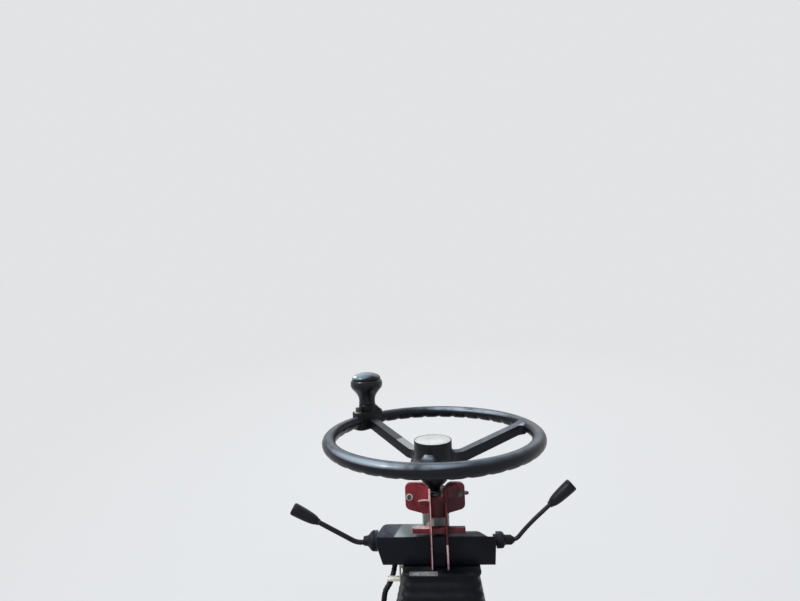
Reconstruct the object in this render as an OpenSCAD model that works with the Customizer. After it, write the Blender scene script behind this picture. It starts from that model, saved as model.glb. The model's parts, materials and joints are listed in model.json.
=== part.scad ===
// Steering column of a wheeled work machine: wheel with spinner knob, red
// bracket, switch housing with two levers, rubber gaiter and floor console.
// World frame: origin at the centre of the floor plate's underside, +Z up,
// +Y forward, away from the operator, +X to the operator's right.

/* [Steering wheel] */
// Radius of the rim's centre line
rim_r = 169; // [150:1:190]
// Radius of the rim's round section
rim_tube_r = 10.9; // [9:0.1:13]
// Number of spokes
spoke_count = 3; // [2:1:4]
// Direction of the first spoke, from +X towards +Y
spoke_angle = 16.5; // [0:0.5:60]
// Width of a spoke
spoke_w = 17; // [14:1:30]
// Height of a spoke's section
spoke_h = 16; // [12:0.5:18]
// Radius of the fillets where a spoke meets the rim
spoke_fillet = 8; // [6:1:24]
// Depth of the hub's spoke roots under the rim's centre plane
dish = 43; // [36:1:50]

/* [Hub] */
// Radius of the hub
hub_r = 31; // [28:0.5:36]
// Height of the hub's top edge over the rim's centre plane, downwards
hub_top = 7.5; // [4:0.5:12]
// Radius of the bare hub cap
hub_cap_r = 28.9; // [24:0.1:29.5]
// Radius of the steering shaft
shaft_r = 8.5; // [7:0.1:10]
// Running clearance of every shaft and pin, on the radius
run_gap = 0.05; // [0.02:0.01:0.09]

/* [Spinner knob] */
// Direction of the knob on the rim, from +X towards +Y
knob_angle = 136.6; // [130:0.1:150]
// Widest radius of the knob
knob_r = 30.5; // [26:0.5:34]
// Height of the knob's top over the rim's centre plane
knob_top = 90; // [78:1:96]
// Radius of the knob's neck
knob_neck_r = 13.2; // [11:0.1:16]
// Radius of the knob's stem
knob_stem_r = 6; // [5:0.1:8]
// Length of the clamp along the rim
clamp_len = 58; // [48:1:70]
// Width of the clamp across the rim
clamp_w = 31; // [28:1:36]

/* [Column] */
// Forward lean of the column at rest, in degrees
lean = 14; // [8:1:20]
// Distance from the tilt pivot to the rim's centre plane
column_length = 453; // [420:1:500]
// Outer radius of the column's jacket tube
jacket_r = 22; // [19:0.5:24]
// Wall of the jacket tube
jacket_wall = 3; // [2:0.5:5]
// Depth of the jacket's top end under the rim's centre plane
jacket_top = 88; // [86:0.5:92]
// Length of the bearing in the jacket's top end
bearing_len = 24; // [16:1:34]

/* [Red bracket] */
// Thickness of the bracket's sheet
sheet = 3; // [2:0.5:4]
// Half width over the bracket's wings
wing_half_w = 47.5; // [42:0.5:56]
// Depth of the wings' top edge under the rim's centre plane
wing_top = 68; // [66:0.5:72]
// Depth of the wings' lower corners
wing_low = 112; // [108:1:118]
// Depth of the wing plate's lower edge at its neck
neck_low = 118; // [114:1:124]
// Radius of the wings' corners
wing_corner = 9; // [4:0.5:12]
// Sideways shift of the channel's middle from the steering axis
channel_x = 4; // [-6:0.5:6]
// Width over the channel's two flanges
channel_w = 28; // [24:0.5:34]
// Reach of the flanges in front of the wing plate
channel_reach = 20; // [14:0.5:26]
// Length of the cross bar from one end to the other
crossbar_len = 83; // [70:1:100]
// Height of the cross bar's front leg
crossbar_h = 9; // [7:0.5:11]

/* [Switch housing] */
// Distance of the housing's outer ends from the steering axis
housing_half_w = 92; // [84:1:98]
// Height of the switch housing
housing_h = 44; // [36:1:50]
// Depth of the housing's top face under the rim's centre plane
housing_top = 150; // [148:1:156]
// Distance of the housing's front face in front of the steering axis
housing_front = 33; // [30:1:38]
// Distance of the housing's rear face behind the steering axis
housing_rear = 30; // [26:1:40]

/* [Levers] */
// Radius of the left lever's rod
left_rod_r = 3.9; // [3:0.1:5]
// Radius of the right lever's rod
right_rod_r = 3.2; // [3:0.1:4.4]
// Radius of the left lever's rubber boot at its root
boot_r = 15.8; // [13:0.1:18]
// Radius of the right lever's rubber boot at its root
right_boot_r = 12.6; // [11:0.1:15]
// Length of a rubber boot
boot_len = 24; // [22:1:30]
// Radius of a grip at the rod
grip_r0 = 5.2; // [5:0.1:7]
// Radius of a grip at its outer end
grip_r1 = 10; // [8:0.1:12]
// Length of a grip
grip_len = 51; // [40:1:60]

/* [Gaiter] */
// Number of pleats
pleats = 15; // [8:1:18]
// Depth of a pleat
pleat_depth = 2.5; // [1.5:0.5:4]
// Wall of the rubber
gaiter_wall = 2.5; // [1.5:0.5:4]
// Half width of the gaiter's top
gaiter_top_x = 58; // [50:1:60]
// Sideways shift of the gaiter's top from the steering axis
gaiter_shift = 6; // [0:0.5:8]
// Half depth of the gaiter's top
gaiter_top_y = 50; // [46:1:56]
// Half width of the gaiter's foot
gaiter_foot_x = 94; // [86:1:98]
// Half depth of the gaiter's foot
gaiter_foot_y = 86; // [80:1:92]
// Depth of the collar's top face under the rim's centre plane
collar_top = 197; // [195:1:203]
// Thickness of the collar plate
collar_t = 6; // [4:0.5:10]

/* [Console] */
// Width of the console
console_w = 260; // [248:1:300]
// Depth of the console at its foot
console_d = 240; // [232:1:280]
// Depth of the console at its top
console_top_d = 220; // [214:1:232]
// Height of the console's top face over the floor
console_h = 360; // [350:1:380]
// Thickness of the console's panels
panel = 3; // [2:0.5:5]
// Width of the floor plate
floor_w = 320; // [300:1:360]
// Depth of the floor plate
floor_d = 300; // [280:1:340]
// Thickness of the floor plate
floor_t = 6; // [4:0.5:10]
// Spacing of the floor bolts along X
bolt_x = 290; // [280:1:296]
// Spacing of the floor bolts along Y
bolt_y = 270; // [262:1:276]
// Radius of the floor bolt holes
bolt_hole_r = 5.5; // [4:0.1:6.5]
// Side of the square hole for the hoses in the floor plate
hose_hole = 140; // [136:1:152]

/* [Tilt pivot] */
// Height of the tilt pivot over the floor
pivot_z = 300; // [290:1:310]
// Radius of the pivot pin
pin_r = 10; // [8:0.5:12]
// Width of the column's foot on the pin
foot_w = 48; // [40:1:56]
// Side gap between the column's foot and the ears
ear_gap = 1; // [0.5:0.5:2]
// Thickness of an ear
ear_t = 8; // [6:0.5:12]

/* [Steering valve] */
// Height of the shelf's underside over the floor, where the valve is bolted
shelf_z = 205; // [195:1:215]
// Thickness of the shelf
shelf_t = 8; // [6:0.5:10]
// Side of the valve's square body
valve_w = 90; // [84:1:100]
// Height of the valve's square body
valve_h = 84; // [76:1:90]
// Radius of the valve's round gear set
gearset_r = 44; // [36:1:48]
// Length of the gear set
gearset_h = 52; // [40:1:64]
// Radius of a hose port, at the underside of its elbow
port_r = 9; // [7:0.5:10]
// Depth of a hose port
port_depth = 16; // [12:1:20]
// Sideways spacing of the hose ports
port_pitch = 42; // [36:1:48]
// Reach of an elbow in front of or behind the valve's body
elbow_reach = 24; // [22:1:28]
// Height of an elbow
elbow_h = 40; // [34:1:46]

/* [Wiring] */
// Radius of the wiring conduit
conduit_r = 4.5; // [3.5:0.1:5.5]

/* [Hidden] */
$fn = 64;

black_plastic = [0.07, 0.07, 0.08];
rubber_black = [0.10, 0.10, 0.11];
cap_grey = [0.75, 0.75, 0.74];
bracket_red = [0.42, 0.06, 0.09];
steel_grey = [0.55, 0.56, 0.55];
zinc = [0.72, 0.71, 0.66];
console_grey = [0.24, 0.25, 0.26];

// Small separation between soft or curved pieces that would otherwise graze
soft_gap = 0.3;

// Spoke: the root at the hub and the end inside the rim, in radius and height
spoke_root_r = 20;
spoke_end_r = rim_r - 6;
spoke_bend_r = rim_r - 19;
spoke_root_z = 4.5 - dish;
spoke_bend_z = -5;
spoke_end_z = 8;
hub_floor = dish + 11;
skirt_r = hub_r + 7;
boss_r = 24;
boss_low = jacket_top - 2;
shaft_low = jacket_top + bearing_len + 8;

// Spinner knob, heights over the rim's centre plane
clamp_top = rim_tube_r + 6;
clamp_low = -rim_tube_r - 3.5;
boss_top = clamp_top + 13;
knob_low = boss_top + soft_gap;
cap_low = knob_top - 13.5;
stem_top = cap_low - 5;
clamp_bolt_r = 5;
clamp_bolt_h = 4;
clamp_nut_h = 8;
clamp_corner = 5;
clamp_bolt_y = clamp_len / 2 - 6;

// Column
foot_top = column_length - 40;
plate_back = -jacket_r;
plate_front = plate_back - sheet;
flange_front = plate_front - channel_reach;
channel_left = channel_x - channel_w / 2;
channel_right = channel_x + channel_w / 2;
ear_r = channel_reach;
ear_low = wing_top + 23;
notch_low = wing_top + 25;
housing_low = housing_top + housing_h;
collar_low = collar_top + collar_t;
crossbar_z = housing_top - 7;
crossbar_set = 6;
web_low = neck_low + 5;

// Bolt heads on the wing plate: sideways place, height and radius
bolt_head = 4.5;
wing_bolts = [
    [-wing_half_w + 6.7, -wing_low + 21.3, 5.5],
    [channel_right - sheet + ear_r + 4.5, -wing_low + 25, 4.2]
];
nub_z = -wing_top - 18;
nub_r = 3;
nub_len = 6;

// Switch housing: outer ends in plan, from the front edge to the rear edge
left_end = [
    [0, -housing_front], [0, -housing_front + 13], [-6.5, housing_rear - 24], [-16, housing_rear - 14],
    [-26, housing_rear]
];
right_end = [[0, -housing_front], [0, housing_rear - 16], [-14, housing_rear]];
low_cut_h = 28;
seat_t = 4;

// Levers: root ball, bend at the boot's tip and end of the rod, as seen from
// the wheel: distance from the column's middle plane, height
boot_face = housing_half_w + 9;
ball_r = 6;
ball_x = boot_face + soft_gap + ball_r;
trunnion_r = 2.5;
trunnion_len = 2 * ball_r + 3;
lever_z = -(housing_top + housing_h / 2);
left_route = [[ball_x, 0], [130, -3.8], [194, 30.7]];
right_route = [[ball_x, 0], [129, 0], [140, 13.2], [157, 30.6], [184.3, 54.9]];

// Profiles of the boots, outside and inside: radius, distance from the housing
boot_wall = 1.6;
left_tip_r = left_rod_r + 4.2;
right_tip_r = right_rod_r + soft_gap + boot_wall;
left_skin = [
    [boot_r - 0.6, 0], [boot_r, 2.5], [boot_r - 0.8, 6], [boot_r - 3.4, 8.5], [boot_r - 6.4, 9.5],
    [boot_r - 6.8, 12.5], [left_tip_r, 16], [left_tip_r, boot_len - 4]
];
left_lining = [
    [left_tip_r - boot_wall, boot_len - 4], [left_tip_r - boot_wall, 15.5], [boot_r - 8.4, 12], [boot_r - 7.4, 8.5],
    [boot_r - 3, 5], [boot_r - 2.6, 0]
];
right_skin = [
    [right_boot_r - 0.4, 0], [right_boot_r, 2.5], [right_boot_r - 0.8, 6.5], [right_boot_r - 4, 8.5],
    [right_boot_r - 5.2, 11], [right_boot_r - 5.4, boot_len - 4], [right_tip_r, boot_len - 2.5], [right_tip_r, boot_len]
];
right_lining = [
    [right_tip_r - boot_wall, boot_len], [right_tip_r - boot_wall, boot_len - 4], [right_boot_r - 6.8, boot_len - 6],
    [right_boot_r - 6.7, 12.5], [right_boot_r - 4.8, 9], [right_boot_r - 2.8, 5.5], [right_boot_r - 2.4, 0]
];

// Console and pivot
ear_x = foot_w / 2 + ear_gap;
ear_top_r = pin_r + 14;
pin_len = 2 * (ear_x + ear_t) + 10;
shelf_top = shelf_z + shelf_t;
shelf_d = valve_w + 50;
elbow_z = shelf_z - valve_h / 2 - elbow_h / 2;
elbow_w = 2 * port_r + 12;
elbow_y = valve_w / 2 + elbow_reach / 2;
strip_w = 12;
strip_t = 4;
mouth_x = 74;
mouth_y = 72;
cover_w = 150;
cover_h = 190;
cover_z = 70;

// Wiring conduit from the left housing half's rear, in column coordinates
// above and world coordinates below, and the bracket over it on the collar
conduit_top = [
    [-62, housing_rear + soft_gap, -183], [-62, housing_rear + 8, -183], [-65, housing_rear + 14, -190],
    [-68, housing_rear + 13, -204], [-71, 28, -218], [-74, 5, -229], [-78, -13, -233], [-85, -20, -242], [-88, -22, -257]
];
conduit_foot = [
    [-91, 26, console_h + 115], [-98, 22, console_h + 80], [-108, 18, console_h + 50], [-115, 15, console_h + 28]
];
gland_x = -119;
gland_y = 14;
gland_h = 9;
clip_w = 12;
clip_t = 2.5;
clip_x = gaiter_shift - gaiter_top_x - 10;
clip_y = -14;
clip_z = -227;
clip_run = 20;

function to_world(p) = [
    p[0],
    p[1] * cos(lean) + (p[2] + column_length) * sin(lean),
    pivot_z + (p[2] + column_length) * cos(lean) - p[1] * sin(lean)
];
function arc_points(x, y, r, from, to, steps = 8) =
    [for (i = [0:steps]) [x + r * cos(from + (to - from) * i / steps), y + r * sin(from + (to - from) * i / steps)]];
function mix(a, b, t) = a + (b - a) * t;
function unit(v) = v / norm(v);

// Outline of a rectangle with round corners, as a closed list of points
function round_box(hx, hy, r, steps = 4) = concat(
    arc_points(hx - r, hy - r, r, 0, 90, steps),
    arc_points(-hx + r, hy - r, r, 90, 180, steps),
    arc_points(-hx + r, -hy + r, r, 180, 270, steps),
    arc_points(hx - r, -hy + r, r, 270, 360, steps)
);

module on_column() {
    translate([0, 0, pivot_z])
        rotate([-lean, 0, 0])
            translate([0, 0, column_length])
                children();
}

module at_knob() {
    on_column()
        rotate([0, 0, knob_angle])
            translate([rim_r, 0, 0])
                children();
}

module rim_solid() {
    rotate_extrude($fn = 128)
        translate([rim_r, 0])
            circle(r = rim_tube_r, $fn = 48);
}

module hub_solid() {
    rotate_extrude()
        polygon(concat(
            [[0, -hub_floor], [skirt_r - 3, -hub_floor], [skirt_r, -hub_floor + 4], [skirt_r, -dish]],
            arc_points(hub_r + 12, -dish + 12, 12, 245, 180, 6),
            [[hub_r, -hub_top - 1.5], [hub_r - 1.5, -hub_top], [hub_cap_r, -hub_top], [hub_cap_r, -hub_top - 3], [0, -hub_top - 3]]
        ));
}

// Plan of a spoke: a straight bar that flares in two round fillets at the rim
module spoke_plan() {
    half = spoke_w / 2;
    flare_x = rim_r - rim_tube_r - spoke_fillet;
    difference() {
        translate([spoke_root_r, -half - spoke_fillet])
            square([spoke_end_r - spoke_root_r, spoke_w + 2 * spoke_fillet]);
        for (side = [-1, 1])
            translate([flare_x, side * (half + spoke_fillet)])
                circle(r = spoke_fillet);
        for (side = [0, 1])
            mirror([0, side])
                translate([0, half])
                    square([flare_x, spoke_fillet + 1]);
    }
}

// Side of a spoke: it drops from the rim to the dished hub
module spoke_side() {
    half = spoke_h / 2;
    polygon([
        [spoke_root_r, spoke_root_z - half], [hub_r + 24, spoke_root_z - half],
        [spoke_bend_r + 6, spoke_bend_z - half], [spoke_end_r, spoke_bend_z + 1],
        [spoke_end_r, spoke_end_z], [spoke_bend_r, spoke_bend_z + half],
        [hub_r + 18, spoke_root_z + half], [spoke_root_r, spoke_root_z + half - 1]
    ]);
}

module wheel_rim() {
    color(rubber_black)
        on_column()
            rim_solid();
}

module spokes_solid() {
    difference() {
        for (i = [0:spoke_count - 1])
            rotate([0, 0, spoke_angle + i * 360 / spoke_count])
                intersection() {
                    translate([0, 0, -100])
                        linear_extrude(height = 120)
                            spoke_plan();
                    rotate([90, 0, 0])
                        linear_extrude(height = spoke_w + 2 * spoke_fillet, center = true)
                            spoke_side();
                }
        rim_solid();
        hub_solid();
    }
}

module wheel_spokes() {
    color(rubber_black)
        on_column()
            spokes_solid();
}

module wheel_hub() {
    color(black_plastic)
        on_column()
            hub_solid();
}

module hub_cap() {
    color(cap_grey)
        on_column()
            rotate_extrude()
                polygon([
                    [0, -hub_top - 3], [hub_cap_r - 0.1, -hub_top - 3], [hub_cap_r - 0.1, -hub_top - 0.4],
                    [hub_cap_r - 2, -hub_top + 0.3], [hub_cap_r / 2, -hub_top + 1.4], [0, -hub_top + 1.8]
                ]);
}

module steering_shaft() {
    color(black_plastic)
        on_column()
            rotate_extrude()
                polygon([
                    [0, -hub_floor], [boss_r, -hub_floor], [boss_r, -hub_floor - 6],
                    [shaft_r + 1, -boss_low], [shaft_r, -boss_low], [shaft_r, -shaft_low], [0, -shaft_low]
                ]);
}

module knob_clamp() {
    color(black_plastic)
        difference() {
            at_knob() {
                intersection() {
                    translate([-clamp_w / 2, -clamp_len / 2, clamp_low])
                        cube([clamp_w, clamp_len, clamp_top - clamp_low]);
                    translate([0, 0, clamp_low])
                        cylinder(h = clamp_top - clamp_low, r = clamp_len / 2);
                }
                hull() {
                    translate([0, 0, clamp_top])
                        cylinder(h = boss_top - clamp_top, r1 = clamp_w / 2, r2 = knob_neck_r + 1, $fn = 32);
                    translate([-clamp_w / 2 + clamp_corner, -clamp_len / 2 + 3, clamp_top - 1])
                        cube([clamp_w - 2 * clamp_corner, 6, 1]);
                }
            }
            on_column() {
                rim_solid();
                spokes_solid();
            }
        }
}

module clamp_bolts() {
    color(zinc)
        at_knob() {
            translate([0, clamp_bolt_y, clamp_top])
                cylinder(h = clamp_nut_h, r = clamp_bolt_r, $fn = 6);
            translate([0, -clamp_bolt_y, clamp_low - clamp_bolt_h])
                cylinder(h = clamp_bolt_h, r = clamp_bolt_r, $fn = 6);
        }
}

module knob_stem() {
    color(zinc)
        at_knob()
            translate([0, 0, boss_top])
                cylinder(h = stem_top - boss_top, r = knob_stem_r);
}

module knob_body() {
    bore = knob_stem_r + run_gap;
    waist = knob_low + 5;
    color(black_plastic)
        at_knob()
            rotate_extrude()
                polygon([
                    [bore, knob_low], [knob_neck_r + 0.5, knob_low], [knob_neck_r, waist],
                    [knob_neck_r + 1.2, waist + 7], [knob_neck_r + 6.5, waist + 15],
                    [knob_r - 4, waist + 21], [knob_r - 0.5, cap_low - 8], [knob_r, cap_low - 4],
                    [knob_r - 1.6, cap_low - 1], [knob_r - 2.5, cap_low], [bore, cap_low]
                ]);
}

module knob_cap() {
    color(black_plastic)
        at_knob()
            rotate_extrude()
                polygon(concat(
                    [[0, cap_low], [knob_r - 2.5, cap_low], [knob_r - 1, cap_low + 1.5]],
                    [for (a = [0:10:90]) [(knob_r - 1) * cos(a), cap_low + 3 + (knob_top - cap_low - 3) * sin(a)]]
                ));
}

module column_jacket() {
    color(steel_grey)
        on_column()
            difference() {
                translate([0, 0, -foot_top])
                    cylinder(h = foot_top - jacket_top, r = jacket_r);
                translate([0, 0, -foot_top - 1])
                    cylinder(h = foot_top - jacket_top - bearing_len + 1, r = jacket_r - jacket_wall);
                translate([0, 0, -jacket_top - bearing_len - 1])
                    cylinder(h = bearing_len + 2, r = shaft_r + run_gap);
            }
}

module column_foot() {
    color(steel_grey)
        on_column()
            translate([0, 0, -column_length])
                difference() {
                    union() {
                        rotate([0, 90, 0])
                            cylinder(h = foot_w, r = jacket_r, center = true);
                        translate([-foot_w / 2, -jacket_r, 0])
                            cube([foot_w, 2 * jacket_r, column_length - foot_top]);
                    }
                    rotate([0, 90, 0])
                        cylinder(h = foot_w + 2, r = pin_r + run_gap, center = true);
                }
}

// Half outline of the wing plate to the right of the notch
function wing_outline(notch) = concat(
    [[0, -neck_low], [0, -notch_low], [notch, -notch_low], [notch, -wing_top - 11], [notch + 12, -wing_top]],
    arc_points(wing_half_w - wing_corner, -wing_top - wing_corner, wing_corner, 90, 0),
    arc_points(wing_half_w - wing_corner, -wing_low + wing_corner, wing_corner, 0, -78),
    [[jacket_r - 0.5, -neck_low + 1], [jacket_r - 0.5, -neck_low]]
);

module bracket_wings() {
    color(bracket_red)
        on_column()
            translate([0, plate_back, 0])
                rotate([90, 0, 0])
                    linear_extrude(height = sheet) {
                        polygon(wing_outline(channel_x + 7));
                        mirror([1, 0])
                            polygon(wing_outline(7));
                    }
}

// Curved ear of a flange: a quarter turn of sheet from the wing to the front
module ear(x_flange, side) {
    translate([x_flange + side * ear_r, flange_front, -ear_low])
        intersection() {
            difference() {
                cylinder(h = ear_low - wing_top - 4, r = ear_r);
                translate([0, 0, -1])
                    cylinder(h = ear_low, r = ear_r - sheet);
            }
            translate([side > 0 ? -ear_r : 0, 0, 0])
                cube([ear_r, ear_r, ear_low]);
        }
}

module bracket_channel() {
    color(bracket_red)
        on_column() {
            for (x = [channel_left, channel_right - sheet])
                translate([x, flange_front, -collar_top])
                    cube([sheet, channel_reach, collar_top - ear_low]);
            translate([channel_left, plate_front - sheet, -web_low])
                cube([channel_w, sheet, web_low - ear_low]);
            ear(channel_left + sheet, -1);
            ear(channel_right - sheet, 1);
        }
}

module bracket_crossbar() {
    y_front = flange_front + crossbar_set;
    end = crossbar_len / 2;
    spans = [
        [channel_x - end, channel_left],
        [channel_left + sheet, channel_right - sheet],
        [channel_right, channel_x + end]
    ];
    color(bracket_red)
        on_column()
            for (span = spans)
                translate([span[0], y_front, -crossbar_z]) {
                    cube([span[1] - span[0], sheet, crossbar_h]);
                    translate([0, sheet, crossbar_h - sheet])
                        cube([span[1] - span[0], sheet + 2, sheet]);
                }
}

module bracket_bolts() {
    color(zinc)
        on_column() {
            for (place = wing_bolts)
                translate([place[0], plate_front, place[1]])
                    rotate([90, 0, 0])
                        cylinder(h = bolt_head, r = place[2], $fn = 6);
            translate([wing_half_w, plate_front + sheet / 2, nub_z])
                rotate([0, 90, 0])
                    cylinder(h = nub_len, r = nub_r);
        }
}

// Space over the sloping rear of a housing half's top
module slope_cut(x, run, top_rear, drop) {
    translate([x, 0, -housing_top])
        rotate([0, 90, 0])
            linear_extrude(height = run)
                polygon([[0, top_rear], [drop, housing_rear], [drop, housing_rear + 9], [-9, housing_rear + 9], [-9, top_rear]]);
}

// One housing half on the right, from its inner face to its outer end, with
// the round seat of a lever's boot; end is the plan of the outer end
module housing_block(x_in, x_out, end, low_cut, top_rear, root_r) {
    difference() {
        translate([0, 0, -housing_low])
            linear_extrude(height = housing_h)
                polygon(concat([[x_in, housing_rear], [x_in, -housing_front]], [for (p = end) [x_out + p[0], p[1]]]));
        slope_cut(0, x_out + 1, top_rear, housing_h / 2);
        translate([0, housing_rear + 1, -housing_low])
            rotate([90, 0, 0])
                linear_extrude(height = housing_front + housing_rear + 2)
                    polygon([[x_out - low_cut, -1], [x_out + 1, -1], [x_out + 1, low_cut_h], [x_out, low_cut_h]]);
        translate([0, 0, -housing_low - 1])
            cylinder(h = housing_h + 2, r = jacket_r);
    }
    translate([x_out - 12, 0, lever_z])
        rotate([0, 90, 0])
            cylinder(h = boot_face - seat_t - x_out + 12, r = root_r - 4);
    translate([boot_face - seat_t, 0, lever_z])
        rotate([0, 90, 0])
            cylinder(h = seat_t, r = root_r);
}

module housing_left() {
    color(black_plastic)
        on_column()
            mirror([1, 0, 0])
                housing_block(-channel_left, housing_half_w + 3, left_end, 9, 11, boot_r);
}

module housing_right() {
    color(black_plastic)
        on_column()
            difference() {
                housing_block(channel_right, housing_half_w, right_end, 2, -19, right_boot_r);
                hull() {
                    slope_cut(69, 0.1, -19, housing_h / 2);
                    slope_cut(80, housing_half_w - 79.9, -housing_front - 0.5, 34);
                }
            }
}

module housing_centre() {
    color(black_plastic)
        on_column()
            translate([channel_left + sheet, -housing_front - 3, -housing_low])
                cube([channel_w - 2 * sheet, housing_front + 3 - jacket_r, housing_h]);
}

// Rubber boot round a lever's root, turned about +X; skin is the outside from
// the root to the tip, lining the inside back to the root
module boot(skin, lining) {
    translate([boot_face, 0, lever_z])
        rotate([0, 90, 0])
            rotate_extrude()
                polygon(concat(skin, lining));
}

module boot_left() {
    color(rubber_black)
        on_column()
            mirror([1, 0, 0])
                boot(left_skin, left_lining);
}

module boot_right() {
    color(rubber_black)
        on_column()
            boot(right_skin, right_lining);
}

// Cylinder between two points of a lever's route, with a ball at its start
module rod_run(a, b, r) {
    step = b - a;
    translate([a[0], 0, lever_z + a[1]])
        rotate([0, atan2(step[0], step[1]), 0]) {
            cylinder(h = norm(step), r = r);
            sphere(r = r + 0.2);
        }
}

module lever_rod(route, r) {
    translate([ball_x, 0, lever_z]) {
        sphere(r = ball_r);
        cylinder(h = trunnion_len, r = trunnion_r, center = true);
    }
    for (i = [0:len(route) - 2])
        rod_run(route[i], route[i + 1], r);
}

// Tapered grip that continues a lever's last run
module lever_grip(route) {
    last = route[len(route) - 1];
    step = last - route[len(route) - 2];
    translate([last[0], 0, lever_z + last[1]])
        rotate([0, atan2(step[0], step[1]), 0])
            rotate_extrude()
                polygon([
                    [0, 0], [grip_r0 - 0.6, 0], [grip_r0, 1.5], [mix(grip_r0, grip_r1, 0.28), 6],
                    [mix(grip_r0, grip_r1, 0.56), 12], [mix(grip_r0, grip_r1, 0.78), 21], [grip_r1 - 0.5, 31],
                    [grip_r1, grip_len - 9], [grip_r1 - 0.1, grip_len - 3], [grip_r1 - 1.2, grip_len - 0.8],
                    [grip_r1 - 3, grip_len], [0, grip_len]
                ]);
}

module lever_left() {
    color(black_plastic)
        on_column()
            mirror([1, 0, 0])
                lever_rod(left_route, left_rod_r);
}

module grip_left() {
    color(black_plastic)
        on_column()
            mirror([1, 0, 0])
                lever_grip(left_route);
}

module lever_right() {
    color(black_plastic)
        on_column()
            lever_rod(right_route, right_rod_r);
}

module grip_right() {
    color(black_plastic)
        on_column()
            lever_grip(right_route);
}

module gaiter_collar() {
    color(black_plastic)
        on_column() {
            difference() {
                translate([gaiter_shift, 0, -collar_low])
                    linear_extrude(height = collar_t)
                        polygon(round_box(gaiter_top_x + 3, gaiter_top_y + 3, 12));
                translate([0, 0, -collar_low - 1])
                    cylinder(h = collar_t + 2, r = jacket_r);
            }
            translate([clip_x, clip_y - clip_w / 2, -collar_low])
                cube([gaiter_shift - gaiter_top_x - clip_x, clip_w, collar_t]);
            translate([clip_x, clip_y - clip_w / 2, clip_z])
                cube([clip_t, clip_w, -collar_low - clip_z]);
            translate([clip_x - clip_run, clip_y - clip_w / 2, clip_z])
                cube([clip_run + clip_t, clip_w, clip_t]);
        }
}

// Centre, tilt and half sizes of the gaiter's ring at t, 0 at the foot and 1
// at the collar; swell moves the ring in or out for a pleat
function gaiter_ring(t, swell, r) = let (
    top = to_world([0, 0, -collar_low - soft_gap]),
    centre = [mix(0, gaiter_shift, t), mix(0, top[1], t), mix(console_h, top[2], t)],
    a = -lean * t,
    hx = mix(gaiter_foot_x, gaiter_top_x, t) + swell,
    hy = mix(gaiter_foot_y, gaiter_top_y, t) + swell
) [for (p = round_box(hx, hy, r)) centre + [p[0], p[1] * cos(a), p[1] * sin(a)]];

module gaiter() {
    steps = 2 * pleats;
    outer = [for (i = [0:steps]) gaiter_ring(i / steps, i % 2 == 1 ? -pleat_depth : 0, 16)];
    inner = [for (i = [steps:-1:0]) gaiter_ring(i / steps, (i % 2 == 1 ? -pleat_depth : 0) - gaiter_wall, 14)];
    rings = concat(outer, inner);
    n = len(rings[0]);
    m = len(rings);
    color(rubber_black)
        polyhedron(
            points = [for (ring = rings) each ring],
            faces = [for (i = [0:m - 1]) for (j = [0:n - 1]) let (
                a = i * n + j,
                b = i * n + (j + 1) % n,
                c = ((i + 1) % m) * n + (j + 1) % n,
                d = ((i + 1) % m) * n + j
            ) each [[a, c, b], [a, d, c]]]
        );
}

module gaiter_strips() {
    x = gaiter_foot_x + 0.5;
    y = gaiter_foot_y + 0.5;
    color(black_plastic)
        translate([0, 0, console_h]) {
            for (side = [0, 1]) {
                mirror([side, 0, 0])
                    translate([x, -y - strip_w, 0])
                        cube([strip_w, 2 * (y + strip_w), strip_t]);
                mirror([0, side, 0])
                    translate([-x, y, 0])
                        cube([2 * x, strip_w, strip_t]);
            }
        }
}

module console_top() {
    color(console_grey)
        translate([0, 0, console_h - panel])
            difference() {
                translate([-console_w / 2, -console_top_d / 2, 0])
                    cube([console_w, console_top_d, panel]);
                translate([-mouth_x, -mouth_y, -1])
                    cube([2 * mouth_x, 2 * mouth_y, panel + 2]);
            }
}

module side_panel() {
    translate([console_w / 2 - panel, 0, 0])
        rotate([90, 0, 90])
            linear_extrude(height = panel)
                polygon([
                    [-console_d / 2, floor_t], [console_d / 2, floor_t],
                    [console_top_d / 2, console_h - panel], [-console_top_d / 2, console_h - panel]
                ]);
}

module console_left() {
    color(console_grey)
        mirror([1, 0, 0])
            side_panel();
}

module console_right() {
    color(console_grey)
        side_panel();
}

// Sloping panel between the side panels, at the rear
module end_panel() {
    foot = console_d / 2;
    top = console_top_d / 2;
    translate([-console_w / 2 + panel, 0, 0])
        rotate([90, 0, 90])
            linear_extrude(height = console_w - 2 * panel)
                polygon([[foot - panel, floor_t], [foot, floor_t], [top, console_h - panel], [top - panel, console_h - panel]]);
}

module console_front() {
    color(console_grey)
        mirror([0, 1, 0])
            end_panel();
}

module console_rear() {
    color(console_grey)
        end_panel();
}

// Screwed cover on the operator's side of the console
module service_cover() {
    slope = atan2((console_d - console_top_d) / 2, console_h - panel - floor_t);
    color(console_grey)
        translate([0, -console_d / 2, floor_t])
            rotate([-slope, 0, 0])
                translate([-cover_w / 2, -panel, cover_z])
                    cube([cover_w, panel, cover_h]);
}

module floor_plate() {
    color(console_grey)
        difference() {
            linear_extrude(height = floor_t)
                polygon(round_box(floor_w / 2, floor_d / 2, 12));
            translate([-hose_hole / 2, -hose_hole / 2, -1])
                cube([hose_hole, hose_hole, floor_t + 2]);
            for (x = [-1, 1])
                for (y = [-1, 1])
                    translate([x * bolt_x / 2, y * bolt_y / 2, -1])
                        cylinder(h = floor_t + 2, r = bolt_hole_r);
        }
}

module valve_shelf() {
    color(steel_grey)
        translate([-console_w / 2 + panel, -shelf_d / 2, shelf_z])
            cube([console_w - 2 * panel, shelf_d, shelf_t]);
}

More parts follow.
